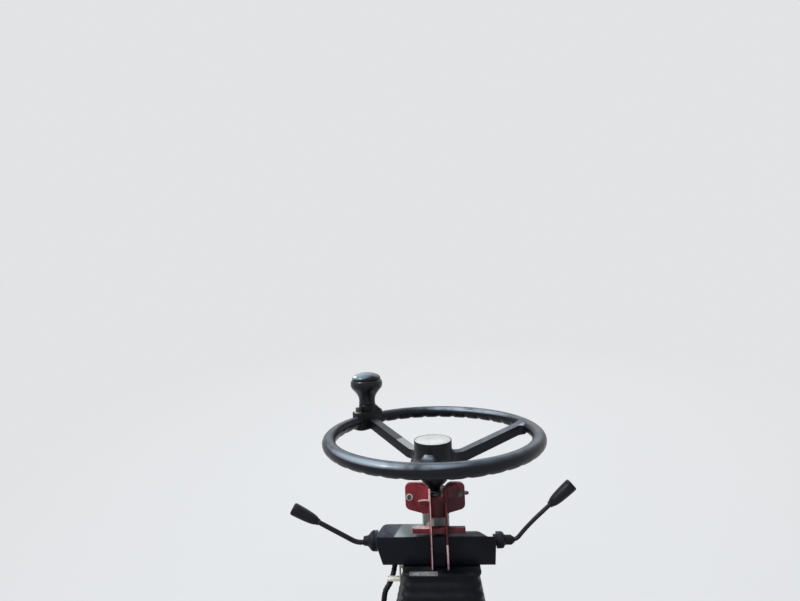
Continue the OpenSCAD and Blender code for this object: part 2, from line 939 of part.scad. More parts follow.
module pivot_ears() {
    color(steel_grey)
        difference() {
            for (side = [0, 1])
                mirror([side, 0, 0])
                    translate([ear_x, 0, 0]) {
                        translate([0, -ear_top_r, shelf_top])
                            cube([ear_t, 2 * ear_top_r, pivot_z - shelf_top]);
                        translate([0, 0, pivot_z])
                            rotate([0, 90, 0])
                                cylinder(h = ear_t, r = ear_top_r);
                    }
            translate([0, 0, pivot_z])
                rotate([0, 90, 0])
                    cylinder(h = pin_len, r = pin_r + run_gap, center = true);
        }
}

module pivot_pin() {
    color(zinc)
        translate([0, 0, pivot_z])
            rotate([0, 90, 0])
                cylinder(h = pin_len, r = pin_r, center = true);
}

module steering_valve() {
    color(steel_grey)
        translate([-valve_w / 2, -valve_w / 2, shelf_z - valve_h])
            cube([valve_w, valve_w, valve_h]);
}

module valve_gearset() {
    color(steel_grey)
        translate([0, 0, shelf_z - valve_h - gearset_h])
            cylinder(h = gearset_h, r = gearset_r);
}

// Elbows on the valve's front and rear faces, each with a port to the floor
module hose_elbows() {
    color(steel_grey)
        for (x = [-1, 1])
            for (y = [-1, 1])
                translate([x * port_pitch / 2, y * elbow_y, elbow_z])
                    difference() {
                        translate([-elbow_w / 2, -elbow_reach / 2, 0])
                            cube([elbow_w, elbow_reach, elbow_h]);
                        translate([0, 0, -1])
                            cylinder(h = port_depth + 1, r = port_r);
                    }
}

// Tube swept along a route of points, as one closed skin
module swept_tube(route, r, sides = 10) {
    n = len(route);
    tangent = [for (i = [0:n - 1]) unit(route[min(i + 1, n - 1)] - route[max(i - 1, 0)])];
    rings = [for (i = [0:n - 1]) let (
        u = unit(cross(tangent[i], [0, 1, 0])),
        v = cross(tangent[i], u)
    ) [for (k = [0:sides - 1]) route[i] + r * (cos(360 * k / sides) * u + sin(360 * k / sides) * v)]];
    polyhedron(
        points = [for (ring = rings) each ring],
        faces = concat(
            [[for (k = [0:sides - 1]) sides - 1 - k]],
            [for (i = [0:n - 2]) for (k = [0:sides - 1]) let (
                a = i * sides + k,
                b = i * sides + (k + 1) % sides
            ) each [[a, b, b + sides], [a, b + sides, a + sides]]],
            [[for (k = [0:sides - 1]) (n - 1) * sides + k]]
        )
    );
}

module conduit() {
    route = concat(
        [for (p = conduit_top) to_world(p)],
        conduit_foot,
        [[gland_x, gland_y, console_h + gland_h + 6], [gland_x, gland_y, console_h + gland_h]]
    );
    color(rubber_black)
        swept_tube(route, conduit_r);
}

module conduit_gland() {
    color(black_plastic)
        translate([gland_x, gland_y, console_h]) {
            cylinder(h = 4, r = conduit_r + 4, $fn = 6);
            translate([0, 0, 4])
                cylinder(h = gland_h - 4, r = conduit_r + 2.5);
        }
}

wheel_rim();
wheel_spokes();
wheel_hub();
hub_cap();
steering_shaft();
knob_clamp();
clamp_bolts();
knob_stem();
knob_body();
knob_cap();
column_jacket();
column_foot();
bracket_wings();
bracket_channel();
bracket_crossbar();
bracket_bolts();
housing_left();
housing_right();
housing_centre();
gaiter_collar();
boot_left();
boot_right();
lever_left();
grip_left();
lever_right();
grip_right();
gaiter();
gaiter_strips();
console_top();
console_left();
console_right();
console_front();
console_rear();
service_cover();
floor_plate();
valve_shelf();
pivot_ears();
pivot_pin();
steering_valve();
valve_gearset();
hose_elbows();
conduit();
conduit_gland();
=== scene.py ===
import json
import math

import bmesh
import bpy
from mathutils import Matrix, Vector


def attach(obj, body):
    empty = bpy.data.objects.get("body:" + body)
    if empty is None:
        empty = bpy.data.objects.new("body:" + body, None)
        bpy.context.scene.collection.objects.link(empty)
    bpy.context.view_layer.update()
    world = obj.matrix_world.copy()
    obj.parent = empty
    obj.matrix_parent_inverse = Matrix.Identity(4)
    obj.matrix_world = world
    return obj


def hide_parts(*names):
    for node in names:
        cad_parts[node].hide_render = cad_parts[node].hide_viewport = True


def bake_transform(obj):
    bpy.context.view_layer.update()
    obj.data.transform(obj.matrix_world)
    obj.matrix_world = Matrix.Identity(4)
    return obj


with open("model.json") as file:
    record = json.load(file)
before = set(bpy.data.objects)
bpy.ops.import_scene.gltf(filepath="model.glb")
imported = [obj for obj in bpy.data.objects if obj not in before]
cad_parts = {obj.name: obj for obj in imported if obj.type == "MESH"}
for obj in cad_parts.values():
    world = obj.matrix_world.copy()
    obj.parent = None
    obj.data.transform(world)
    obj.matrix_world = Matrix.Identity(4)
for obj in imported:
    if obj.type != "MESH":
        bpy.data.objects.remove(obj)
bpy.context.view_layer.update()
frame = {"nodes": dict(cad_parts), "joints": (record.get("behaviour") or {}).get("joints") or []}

# Steering column of a wheeled work machine. Sizes are metres in the column's own frame:
# its origin is the middle of the wheel, +Z runs up the steering axis, +Y is away from the operator.

joints = {joint["name"]: joint for joint in frame["joints"]}
wheelJoint = joints["wheel_turn"]
steeringAxis = Vector(wheelJoint["axis"])
columnPlace = (Matrix.Translation(wheelJoint["pos_m"])
               @ Vector((0, 0, 1)).rotation_difference(steeringAxis).to_matrix().to_4x4())
knobSpot = columnPlace.inverted() @ Vector(joints["knob_spin"]["pos_m"])
knobTurn = math.atan2(knobSpot.y, knobSpot.x)
knobPlace = (columnPlace @ Matrix.Rotation(knobTurn, 4, "Z")
             @ Matrix.Translation((knobSpot.to_2d().length, 0, 0)))
home = {  # where the pieces of a body are modelled; the base's are modelled in place
    "wheel": columnPlace, "column": columnPlace, "left_lever": columnPlace, "right_lever": columnPlace,
    "knob": knobPlace}


# Tools of the bench

def nameIt(name):
    piece = bpy.context.active_object
    piece.name = piece.data.name = name
    bpy.ops.object.transform_apply(location=True, rotation=True, scale=True)
    return piece


def take(facts, names):  # the values of several keys
    return [facts[name] for name in names.split()]


def hold(piece):  # makes it the only one that an operator works on
    selectNothing()
    piece.select_set(True)
    bpy.context.view_layer.objects.active = piece


def openMesh(piece, mode="FACE"):
    hold(piece)
    bpy.ops.object.mode_set(mode="EDIT")
    bpy.ops.mesh.select_mode(type=mode)
    bpy.ops.mesh.select_all(action="DESELECT")


def closeMesh():
    bpy.ops.object.mode_set(mode="OBJECT")


def selectNothing():
    bpy.ops.object.select_all(action="DESELECT")


def takeAll():
    bpy.ops.mesh.select_all(action="SELECT")


def cut(spot, normal):  # a cut right through the mesh that leaves both sides
    takeAll()
    bpy.ops.mesh.bisect(plane_co=spot, plane_no=normal)


def pull(way):
    bpy.ops.mesh.extrude_region_move(TRANSFORM_OT_translate={"value": way})


def sink(depth):
    bpy.ops.mesh.extrude_region_shrink_fatten(TRANSFORM_OT_shrink_fatten={"value": -depth})


def shift(way):
    bpy.ops.transform.translate(value=way)


def stretch(value, centre):
    bpy.ops.transform.resize(value=value, center_override=centre)


def sealMesh(merge=1e-6):  # merges what meets, turns the normals outwards
    takeAll()
    if merge:
        bpy.ops.mesh.remove_doubles(threshold=merge)
    bpy.ops.mesh.normals_make_consistent(inside=False)
    closeMesh()


def pick(piece, kind, test):  # kind is verts, edges or faces
    mesh = bmesh.from_edit_mesh(piece.data)
    for item in getattr(mesh, kind):
        item.select_set(False)
    for item in getattr(mesh, kind):
        if test(item):
            item.select_set(True)
    mesh.select_flush_mode()
    bmesh.update_edit_mesh(piece.data)


def middle(item):  # middle of an edge or a face
    return sum((v.co for v in item.verts), Vector()) / len(item.verts)


def newPiece(name, shape, **facts):  # a new piece from one of Blender's plain shapes
    selectNothing()
    shape(**facts)
    return nameIt(name)


def startBox(name, low, high):
    centre = [(a + b) / 2 for a, b in zip(low, high)]
    return newPiece(name, bpy.ops.mesh.primitive_cube_add, size=1, location=centre,
                    scale=[b - a for a, b in zip(low, high)])


def turn(name, profile, sides, ring=False):
    # a disc drawn out step by step, as on a lathe; profile holds (radius, height) pairs
    startR, startZ = profile[0]
    piece = newPiece(name, bpy.ops.mesh.primitive_circle_add, vertices=sides, radius=startR,
                     location=(0, 0, startZ), fill_type="NOTHING" if ring else "NGON")
    openMesh(piece, "EDGE" if ring else "FACE")
    takeAll()
    for (r0, z0), (r1, z1) in zip(profile, profile[1:]):
        pull((0, 0, z1 - z0))
        stretch((r1 / r0, r1 / r0, 1), (0, 0, z1))
    sealMesh()
    return piece


def quarterRound(x, z, r, start, end, steps):  # points of an arc for a profile
    angles = [math.radians(start + (end - start) * i / steps) for i in range(steps + 1)]
    return [(x + r * math.cos(a), z + r * math.sin(a)) for a in angles]


def ease(piece, width, segments=2, angle=30, edgeFinish=0):  # breaks the sharp edges
    hold(piece)
    while edgeFinish and len(piece.data.materials) <= edgeFinish:
        piece.data.materials.append(None)
    bevel = piece.modifiers.new("Bevel", "BEVEL")
    bevel.width = width
    bevel.segments = segments
    bevel.limit_method = "ANGLE"
    bevel.angle_limit = math.radians(angle)
    bevel.material = edgeFinish or -1
    bpy.ops.object.modifier_apply(modifier=bevel.name)


def soften(piece):
    hold(piece)
    smooth = piece.modifiers.new("Subdivision", "SUBSURF")
    smooth.levels = smooth.render_levels = 1
    bpy.ops.object.modifier_apply(modifier=smooth.name)


def place(piece, where):  # puts the place into the mesh
    piece.matrix_world = where @ piece.matrix_world
    hold(piece)
    bpy.ops.object.transform_apply(location=True, rotation=True, scale=True)


def copyTo(piece, where):
    twin = piece.copy()
    twin.data = piece.data.copy()
    bpy.context.collection.objects.link(twin)
    place(twin, where)
    return twin


def onAxis(x, y, z, turns=()):  # a place in the column's frame, with turns about named axes
    where = Matrix.Translation((x, y, z))
    for degrees, axis in turns:
        where = where @ Matrix.Rotation(math.radians(degrees), 4, axis)
    return where


def join(pieces, name):
    selectNothing()
    for piece in pieces:
        piece.select_set(True)
    bpy.context.view_layer.objects.active = pieces[0]
    bpy.ops.object.join()
    joined = bpy.context.active_object
    joined.name = joined.data.name = name
    return joined


def dress(piece, finishes, choose=None):  # choose gives the number of the finish for each face
    for i, finish in enumerate(finishes):
        if i < len(piece.data.materials):
            piece.data.materials[i] = finish
        else:
            piece.data.materials.append(finish)
    if choose:
        for face in piece.data.polygons:
            face.material_index = int(choose(face))


def finishPiece(piece, finishes, body, smooth, where=None, stands=True):
    where = home.get(body) if where is None else where
    if where is not None:
        place(piece, where)
    hold(piece)
    bpy.ops.object.shade_smooth_by_angle(angle=math.radians(smooth))
    dress(piece, finishes)
    if stands:  # for the solid of its own name, as wheelRim for wheel_rim
        name = piece.name.split(".")[0]
        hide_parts("".join("_" + c.lower() if c.isupper() else c for c in name))
    if body:
        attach(piece, body)
    return piece


# Finishes

def shaderOf(tree):
    return tree.nodes["Principled BSDF"]


def feed(tree, node, inputs):  # an input is a value or the socket of another node
    for key, value in inputs.items():
        socket = node.inputs[key]
        if isinstance(value, bpy.types.NodeSocket):
            tree.links.new(value, socket)
        else:
            socket.default_value = (*value, 1) if socket.type == "RGBA" else value


def addNode(tree, kind, output, inputs, **facts):
    node = tree.nodes.new(kind)
    for fact, value in facts.items():
        setattr(node, fact, value)
    feed(tree, node, inputs)
    return node.outputs[output]


def newFinish(name, roughness=0.5, metallic=0.0, coat=0.0, specular=0.5, coatRoughness=0.03):
    finish = bpy.data.materials.new(name)
    finish.use_nodes = True
    tree = finish.node_tree
    feed(tree, shaderOf(tree), {"Roughness": roughness, "Metallic": metallic, "Coat Weight": coat,
                                "Specular IOR Level": specular, "Coat Roughness": coatRoughness})
    return finish, tree


def onObject(tree, stretch=(1, 1, 1)):
    spot = addNode(tree, "ShaderNodeTexCoord", "Object", {})
    return addNode(tree, "ShaderNodeMapping", "Vector", {"Vector": spot, "Scale": stretch})


def noise(tree, scale, detail=5, rough=0.6, stretch=(1, 1, 1)):
    return addNode(tree, "ShaderNodeTexNoise", "Fac", {
        "Vector": onObject(tree, stretch), "Scale": scale, "Detail": detail, "Roughness": rough})


def cells(tree, scale):
    return addNode(tree, "ShaderNodeTexVoronoi", "Distance", {"Vector": onObject(tree), "Scale": scale})


def spread(tree, value, fromLow, fromHigh, toLow=0.0, toHigh=1.0):
    return addNode(tree, "ShaderNodeMapRange", "Result", {
        "Value": value, "From Min": fromLow, "From Max": fromHigh, "To Min": toLow, "To Max": toHigh})


def patches(tree, grain, low, high, toLow=0.0):  # grain holds a noise's scale, detail and the like
    return spread(tree, noise(tree, *grain), low, high, toLow)


def times(tree, a, b, kind="MULTIPLY"):
    return addNode(tree, "ShaderNodeMath", "Value", {0: a, 1: b}, operation=kind, use_clamp=True)


def mixColour(tree, factor, first, second):
    return addNode(tree, "ShaderNodeMix", "Result", {"Factor": factor, "A": first, "B": second}, data_type="RGBA")


def share(tree, vector, way):  # the share of a vector along a direction
    return addNode(tree, "ShaderNodeVectorMath", "Value", {0: vector, 1: way}, operation="DOT_PRODUCT")


def facing(tree, low, high, way=(0, 0, 1)):  # 1 where a surface looks that way, for dust, sun bleaching and painted highlights
    normal = addNode(tree, "ShaderNodeNewGeometry", "Normal", {})
    return spread(tree, share(tree, normal, Vector(way).normalized()), low, high)


def relief(tree, height, strength, depth):
    bump = addNode(tree, "ShaderNodeBump", "Normal", {"Height": height, "Strength": strength, "Distance": depth})
    feed(tree, shaderOf(tree), {"Normal": bump})


def colourFrom(tree, colour):
    feed(tree, shaderOf(tree), {"Base Color": colour})


def roughen(tree, grain, smoothest, roughest, low=0.3, high=0.7):
    value = spread(tree, noise(tree, *grain), low, high, smoothest, roughest)
    feed(tree, shaderOf(tree), {"Roughness": value})


def rubberRimFinish():  # foamed grip, dusty grey on top where the hands reach it, which also stands for painted sheen there, with a painted highlight band on the upper inner side
    finish, tree = newFinish("rim foam", 0.4, specular=0.24)
    dustAndSheen = times(tree, patches(tree, (30, 6), 0.32, 0.66, 0.2), facing(tree, 0.68, 1.0))
    wornAndSunlit = mixColour(tree, dustAndSheen, (0.0026, 0.0042, 0.0084), (0.066, 0.083, 0.104))
    # painted highlight: a pale sky-blue band where the sun would glint on the grip
    paintedHighlight = times(tree, facing(tree, 0.88, 0.99, (-0.3, -0.42, 0.85)), patches(tree, (15, 3), 0.4, 0.56, 0.12))
    colourFrom(tree, mixColour(tree, paintedHighlight, wornAndSunlit, (0.3, 0.355, 0.42)))
    roughen(tree, (90, 5), 0.25, 0.42)
    relief(tree, noise(tree, 1400, 3, 0.7), 0.22, 0.0002)
    return finish


def madeFrom(finish, name):  # a finish made before, to carry on with
    finish.name = name
    tree = finish.node_tree
    return finish, tree, shaderOf(tree).inputs["Base Color"].links[0].from_socket


def spokeFinish():  # a painted sunlit patch on the spoke tops, and the knob's painted shadow further out towards the knob
    finish, tree, plain = madeFrom(rubberRimFinish(), "spoke foam")
    toKnob = share(tree, onObject(tree), (-0.737, 0.676, 0))
    paintedSunPatch = times(tree, spread(tree, toKnob, 0.094, 0.106), facing(tree, 0.75, 0.95))
    pale = mixColour(tree, paintedSunPatch, plain, (0.255, 0.275, 0.272))
    # painted shadow: the knob's shadow falling on its spoke, drawn dark
    paintedShade = spread(tree, toKnob, 0.1485, 0.151, 0, 0.95)
    colourFrom(tree, mixColour(tree, paintedShade, pale, (0.0025, 0.0045, 0.008)))
    return finish


def dustyPlasticFinish(name, dark, dust, roughness=0.4, grainScale=1800, grainStrength=0.2, specular=0.2):
    finish, tree = newFinish(name, roughness, specular=specular)
    settled = times(tree, patches(tree, (55, 7, 0.7), 0.34, 0.62), facing(tree, 0.3, 1.0))
    colourFrom(tree, mixColour(tree, settled, dark, dust))
    roughen(tree, (24, 4), roughness - 0.08, roughness + 0.14)
    relief(tree, cells(tree, grainScale), grainStrength, 0.00015)
    return finish


def panelFinish(name, specular=0.2):
    return dustyPlasticFinish(name, (0.0052, 0.006, 0.0105), (0.045, 0.056, 0.082), 0.38, 1300, 0.28, specular)


def housingFinish():  # a painted glare: one pale band of painted sunlight across the top
    finish, tree, dusty = madeFrom(panelFinish("panel", 0.12), "housing plastic")
    across = share(tree, onObject(tree), (1, -0.26, 0))
    paintedGlare = times(tree, spread(tree, across, -0.0796, -0.0766), spread(tree, across, -0.041, -0.046))
    paintedGlare = times(tree, paintedGlare, facing(tree, 0.9, 0.96))
    colourFrom(tree, mixColour(tree, paintedGlare, dusty, (0.27, 0.305, 0.285)))
    return finish


def knobFinish(name, highlightColour, glintColour=None):  # worn smooth by the hand, with faint scratches, a painted highlight on the side towards the sun and a painted glint in its middle
    finish, tree = newFinish(name, 0.36, specular=0.28)
    scratches = patches(tree, (260, 4, 0.8, (1, 1, 9)), 0.56, 0.72)
    colour = mixColour(tree, scratches, (0.0045, 0.0052, 0.0085), (0.012, 0.013, 0.018))
    sunny = (-0.55, -0.15, 0.82)
    colour = mixColour(tree, facing(tree, 0.6, 1.0, sunny), colour, highlightColour)
    if glintColour:
        colour = mixColour(tree, facing(tree, 0.975, 0.995, sunny), colour, glintColour)
    colourFrom(tree, colour)
    roughen(tree, (70, 5), 0.24, 0.36, 0.35)
    relief(tree, noise(tree, 900, 2, 0.5), 0.05, 0.0001)
    return finish


def redPaintFinish():  # dark red paint with chips and grime, and painted shade over its right half
    finish, tree = newFinish("red paint", 0.36, specular=0.25)
    faded = mixColour(tree, facing(tree, -0.1, 0.9), (0.16, 0.009, 0.018), (0.3, 0.035, 0.048))
    # painted shade: the right half is drawn darker
    paintedShade = spread(tree, share(tree, onObject(tree), (1, 0, 0)), -0.009, 0.006, 0, 0.85)
    faded = mixColour(tree, paintedShade, faded, (0.062, 0.013, 0.016))
    painted = mixColour(tree, patches(tree, (42, 7, 0.7), 0.46, 0.74), faded, (0.075, 0.009, 0.013))
    chips = times(tree, spread(tree, cells(tree, 130), 0.1, 0.045), patches(tree, (26, 4), 0.57, 0.64))
    colourFrom(tree, mixColour(tree, chips, painted, (0.3, 0.2, 0.19)))
    roughen(tree, (65, 5), 0.28, 0.5, 0.3, 0.75)
    relief(tree, noise(tree, 480, 4), 0.14, 0.0002)
    return finish


def gaiterFinish():  # black rubber with dust in its folds
    finish, tree = newFinish("gaiter rubber", 0.5, specular=0.12)
    bloom = times(tree, patches(tree, (28, 7, 0.7), 0.4, 0.72), facing(tree, 0.2, 1.0))
    colourFrom(tree, mixColour(tree, bloom, (0.0062, 0.0066, 0.009), (0.03, 0.031, 0.037)))
    roughen(tree, (60, 5), 0.38, 0.6)
    relief(tree, noise(tree, 1100, 4, 0.7), 0.25, 0.0002)
    return finish


def consoleFinish():  # textured powder coat, scuffed by shoes near the floor
    finish, tree = newFinish("powder coat", 0.5)
    low = spread(tree, share(tree, onObject(tree), (0, 0, 1)), 0.17, 0.01)
    scuffs = times(tree, low, patches(tree, (30, 8, 0.72, (1, 1, 0.35)), 0.42, 0.66))
    coat = mixColour(tree, patches(tree, (14, 7, 0.65), 0.42, 0.78), (0.055, 0.058, 0.063), (0.085, 0.088, 0.094))
    colourFrom(tree, mixColour(tree, scuffs, coat, (0.2, 0.185, 0.165)))
    roughen(tree, (48, 5), 0.42, 0.62)
    relief(tree, noise(tree, 620, 3, 0.6), 0.3, 0.0003)
    return finish


def mottledFinish(name, mottle, colours, bumps, rough=None, **values):
    # mottle: noise and range, bumps: noise, strength and depth, rough: noise, smoothest and roughest
    finish, tree = newFinish(name, **values)
    colourFrom(tree, mixColour(tree, patches(tree, *mottle), *colours))
    if rough:
        roughen(tree, *rough)
    grain, strength, depth = bumps
    relief(tree, noise(tree, *grain), strength, depth)
    return finish


rimFoam = rubberRimFinish()
spokeFoam = spokeFinish()
hubPlastic = dustyPlasticFinish("hub plastic", (0.0065, 0.0072, 0.0098), (0.16, 0.168, 0.18))
housingPlastic = housingFinish()
stripPlastic = panelFinish("strip plastic")
leverPlastic = dustyPlasticFinish("lever plastic", (0.0055, 0.006, 0.0085), (0.016, 0.017, 0.022), 0.4, 2400, 0.12)
# the knob body carries a faint painted sheen, the cap a painted sky highlight with a painted glint
knobPolish = knobFinish("polished black", (0.016, 0.019, 0.026))
knobGloss = knobFinish("polished cap", (0.17, 0.25, 0.32), (0.85, 0.92, 0.96))
redPaint = redPaintFinish()
gaiterRubber = gaiterFinish()
powderCoat = consoleFinish()
capLacquer = mottledFinish(  # pale and lacquered
    "cap lacquer", ((60, 6, 0.7), 0.42, 0.78), ((0.52, 0.53, 0.505), (0.36, 0.37, 0.35)),
    ((700, 3), 0.08, 0.0001), ((120, 5), 0.22, 0.42), roughness=0.3, coat=0.35, coatRoughness=0.12)
wornAndSunlitRed = mottledFinish(  # the red paint rubbed pale along the edges, which also stands for painted sunlight on them
    "worn red edge", ((110, 6, 0.75), 0.38, 0.58), ((0.5, 0.24, 0.24), (0.8, 0.58, 0.56)),
    ((800, 3), 0.2, 0.0001), ((200, 4), 0.3, 0.55), roughness=0.4)
greyPaint = mottledFinish(
    "grey paint", ((34, 7, 0.7), 0.45, 0.75), ((0.4, 0.41, 0.385), (0.2, 0.205, 0.19)),
    ((420, 4), 0.15, 0.0002), ((80, 5), 0.34, 0.58), roughness=0.42)
zincPlate = mottledFinish(  # plated fasteners, slightly yellowed
    "zinc plate", ((240, 5), 0.35, 0.7), ((0.6, 0.59, 0.55), (0.46, 0.42, 0.33)),
    ((2400, 3), 0.12, 0.00005), ((320, 5), 0.24, 0.5), roughness=0.34, metallic=0.95)
darkBolt = mottledFinish(
    "blackened steel", ((300, 5), 0.45, 0.7), ((0.045, 0.045, 0.048), (0.16, 0.155, 0.15)),
    ((2200, 3), 0.15, 0.00005), ((400, 4), 0.34, 0.55), roughness=0.42, metallic=0.8)
castIron = mottledFinish(
    "cast iron", ((50, 7), 0.4, 0.7), ((0.1, 0.1, 0.105), (0.17, 0.15, 0.13)),
    ((500, 6, 0.7), 0.5, 0.0006), roughness=0.6, metallic=0.3)
scuffed = mottledFinish(  # painted glare: rubber drawn pale grey in patches
    "scuffed edge", ((42, 4), 0.4, 0.56), ((0.1, 0.102, 0.108), (0.27, 0.275, 0.28)),
    ((1100, 4, 0.7), 0.25, 0.0002), roughness=0.45, specular=0.2)
print("finishes ready")


# Camera, light and floor

view = {"lens": 20.43, "spot": (-0.0005, -0.5718, 1.124),
        "right": (0.99747908, 0.06002634, -0.03784615),
        "down": (-0.03898306, 0.01788317, -0.99907983),
        "forward": (-0.0592943, 0.99803659, 0.02017809)}


def setCamera():
    bpy.ops.object.camera_add()
    camera = bpy.context.active_object
    turned = columnPlace.to_3x3()
    right, down, forward = (turned @ Vector(view[key]) for key in ("right", "down", "forward"))
    camera.matrix_world = Matrix.Translation(view["spot"]) @ Matrix((right, -down, -forward)).transposed().to_4x4()
    camera.data.lens = view["lens"]
    camera.data.clip_start = 0.02
    bpy.context.scene.camera = camera


studio = {
    "floor": (0.62, 0.62, 0.62), "floorHalf": 4.0, "fade": (0.9, 2.8), "backdrop": (0.8, 0.81, 0.82),
    "backdropLight": 0.95, "sky": (0.72, 0.8, 0.92), "skyLight": 0.4}
lamps = [  # name, kind, spot, power, sizes or angle, colour
    ("sun", "SUN", (-1.3, -0.1, 2.6), 2.8, (4,), (1.0, 0.97, 0.92)),
    ("horizon light", "AREA", (0.3, 3.6, 2.3), 42, (4.4, 2.2), (0.86, 0.93, 1.0)),
    ("sky light", "AREA", (-0.5, 0.9, 2.7), 14, (1.5, 1.5), (0.78, 0.87, 1.0))]


def setStudio():
    floor = newPiece("studioFloor", bpy.ops.mesh.primitive_plane_add, size=2 * studio["floorHalf"])
    finish, tree = newFinish("pale floor", 0.8, specular=0.1)
    paler = tuple(c * 1.02 for c in studio["floor"])
    colourFrom(tree, mixColour(tree, noise(tree, 3), studio["floor"], paler))
    reach = addNode(tree, "ShaderNodeVectorMath", "Value", {0: onObject(tree)}, operation="LENGTH")
    fading = addNode(tree, "ShaderNodeMixShader", "Shader", {  # the floor fades into the backdrop
        "Fac": spread(tree, reach, *studio["fade"]), 1: shaderOf(tree).outputs["BSDF"],
        2: addNode(tree, "ShaderNodeBsdfTransparent", "BSDF", {})})
    feed(tree, tree.nodes["Material Output"], {"Surface": fading})
    floor.data.materials.append(finish)
    world = bpy.data.worlds.new("studio")
    bpy.context.scene.world = world
    world.use_nodes = True
    tree = world.node_tree
    sky = tree.nodes["Background"]
    feed(tree, sky, {"Color": studio["sky"], "Strength": studio["skyLight"]})
    backdrop = addNode(tree, "ShaderNodeBackground", "Background", {
        "Color": studio["backdrop"], "Strength": studio["backdropLight"]})
    path = tree.nodes.new("ShaderNodeLightPath").outputs
    seen = times(tree, times(tree, path["Is Camera Ray"], path["Is Glossy Ray"], "MAXIMUM"),
                 path["Is Transmission Ray"], "MAXIMUM")
    choice = addNode(tree, "ShaderNodeMixShader", "Shader", {
        "Fac": seen, 1: sky.outputs["Background"], 2: backdrop})
    feed(tree, tree.nodes["World Output"], {"Surface": choice})
    target = columnPlace.translation
    for name, kind, spot, power, size, colour in lamps:
        bpy.ops.object.light_add(type=kind, location=spot)
        lamp = bpy.context.active_object
        lamp.name = name
        lamp.data.energy = power
        if kind == "SUN":
            lamp.data.angle = math.radians(size[0])
        else:
            lamp.data.shape = "RECTANGLE"
            lamp.data.size, lamp.data.size_y = size
            lamp.visible_camera = False
        lamp.data.color = colour
        lamp.rotation_euler = (target - Vector(spot)).to_track_quat("-Z", "Y").to_euler()
    bpy.context.scene.view_settings.view_transform = "Standard"


setCamera()
setStudio()
print("camera, floor and light set")


# Wheel

rim = {"radius": 0.169, "tube": 0.0109, "grips": 38, "ringsPerGrip": 6, "sides": 28, "gripDepth": 0.0026}
spoke = {
    "count": 3, "angle": 16.5, "width": 0.017, "flare": 0.008, "edge": 0.0022, "rootTop": -0.0302,
    "rootEnd": 0.046, "rootFlare": 0.006, "arch": (0.003, 0.0058), "shoulder": 0.0004,
    "rows": [  # distance from the axis, top, underside and drop of the flare's top corners
        (0.02, -0.0228, -0.0464, 0), (0.0308, -0.0228, -0.0464, 0), (0.032, -0.025, -0.0464, 0),
        (0.0336, -0.0268, -0.0464, 0), (0.0356, -0.0282, -0.0464, 0), (0.038, -0.0293, -0.0464, 0),
        (0.041, -0.03, -0.0464, 0), (0.045, -0.0304, -0.0464, 0), (0.049, -0.0301, -0.0464, 0),
        (0.055, -0.0284, -0.046, 0), (0.1, -0.0136, -0.0306, 0), (0.149, 0.0026, -0.0139, 0),
        (0.1515, 0.0036, -0.0134, 0.0003), (0.153, 0.0044, -0.013, 0.0009), (0.1545, 0.0051, -0.0127, 0.0017),
        (0.1558, 0.0058, -0.0123, 0.0024), (0.157, 0.0064, -0.0116, 0.003), (0.158, 0.0068, -0.011, 0.0034),
        (0.1605, 0.0078, -0.009, 0.0014), (0.164, 0.0089, -0.0055, 0.0002)]}
hub = {
    "radius": 0.031, "skirt": 0.038, "top": -0.0075, "floor": -0.054, "root": -0.043, "fillet": 0.012,
    "cap": 0.0301}


def makeRim():
    piece = newPiece("wheelRim", bpy.ops.mesh.primitive_torus_add, major_radius=rim["radius"],
                     minor_radius=rim["tube"], major_segments=rim["grips"] * rim["ringsPerGrip"],
                     minor_segments=rim["sides"])
    openMesh(piece, "VERT")
    pitch = 2 * math.pi / rim["grips"]
    for reach in (78, 60, 42):  # each pass narrows towards the underside and deepens the groove
        def inGroove(v):
            along = (math.atan2(v.co.y, v.co.x) / pitch) % 1
            around = math.degrees(math.atan2(v.co.z, v.co.to_2d().length - rim["radius"]))
            return min(along, 1 - along) < 0.1 and abs(around + 112) < reach

        pick(piece, "verts", inGroove)
        bpy.ops.transform.shrink_fatten(value=-rim["gripDepth"] / 3)
    closeMesh()
    soften(piece)
    finishPiece(piece, [rimFoam], "wheel", 60)


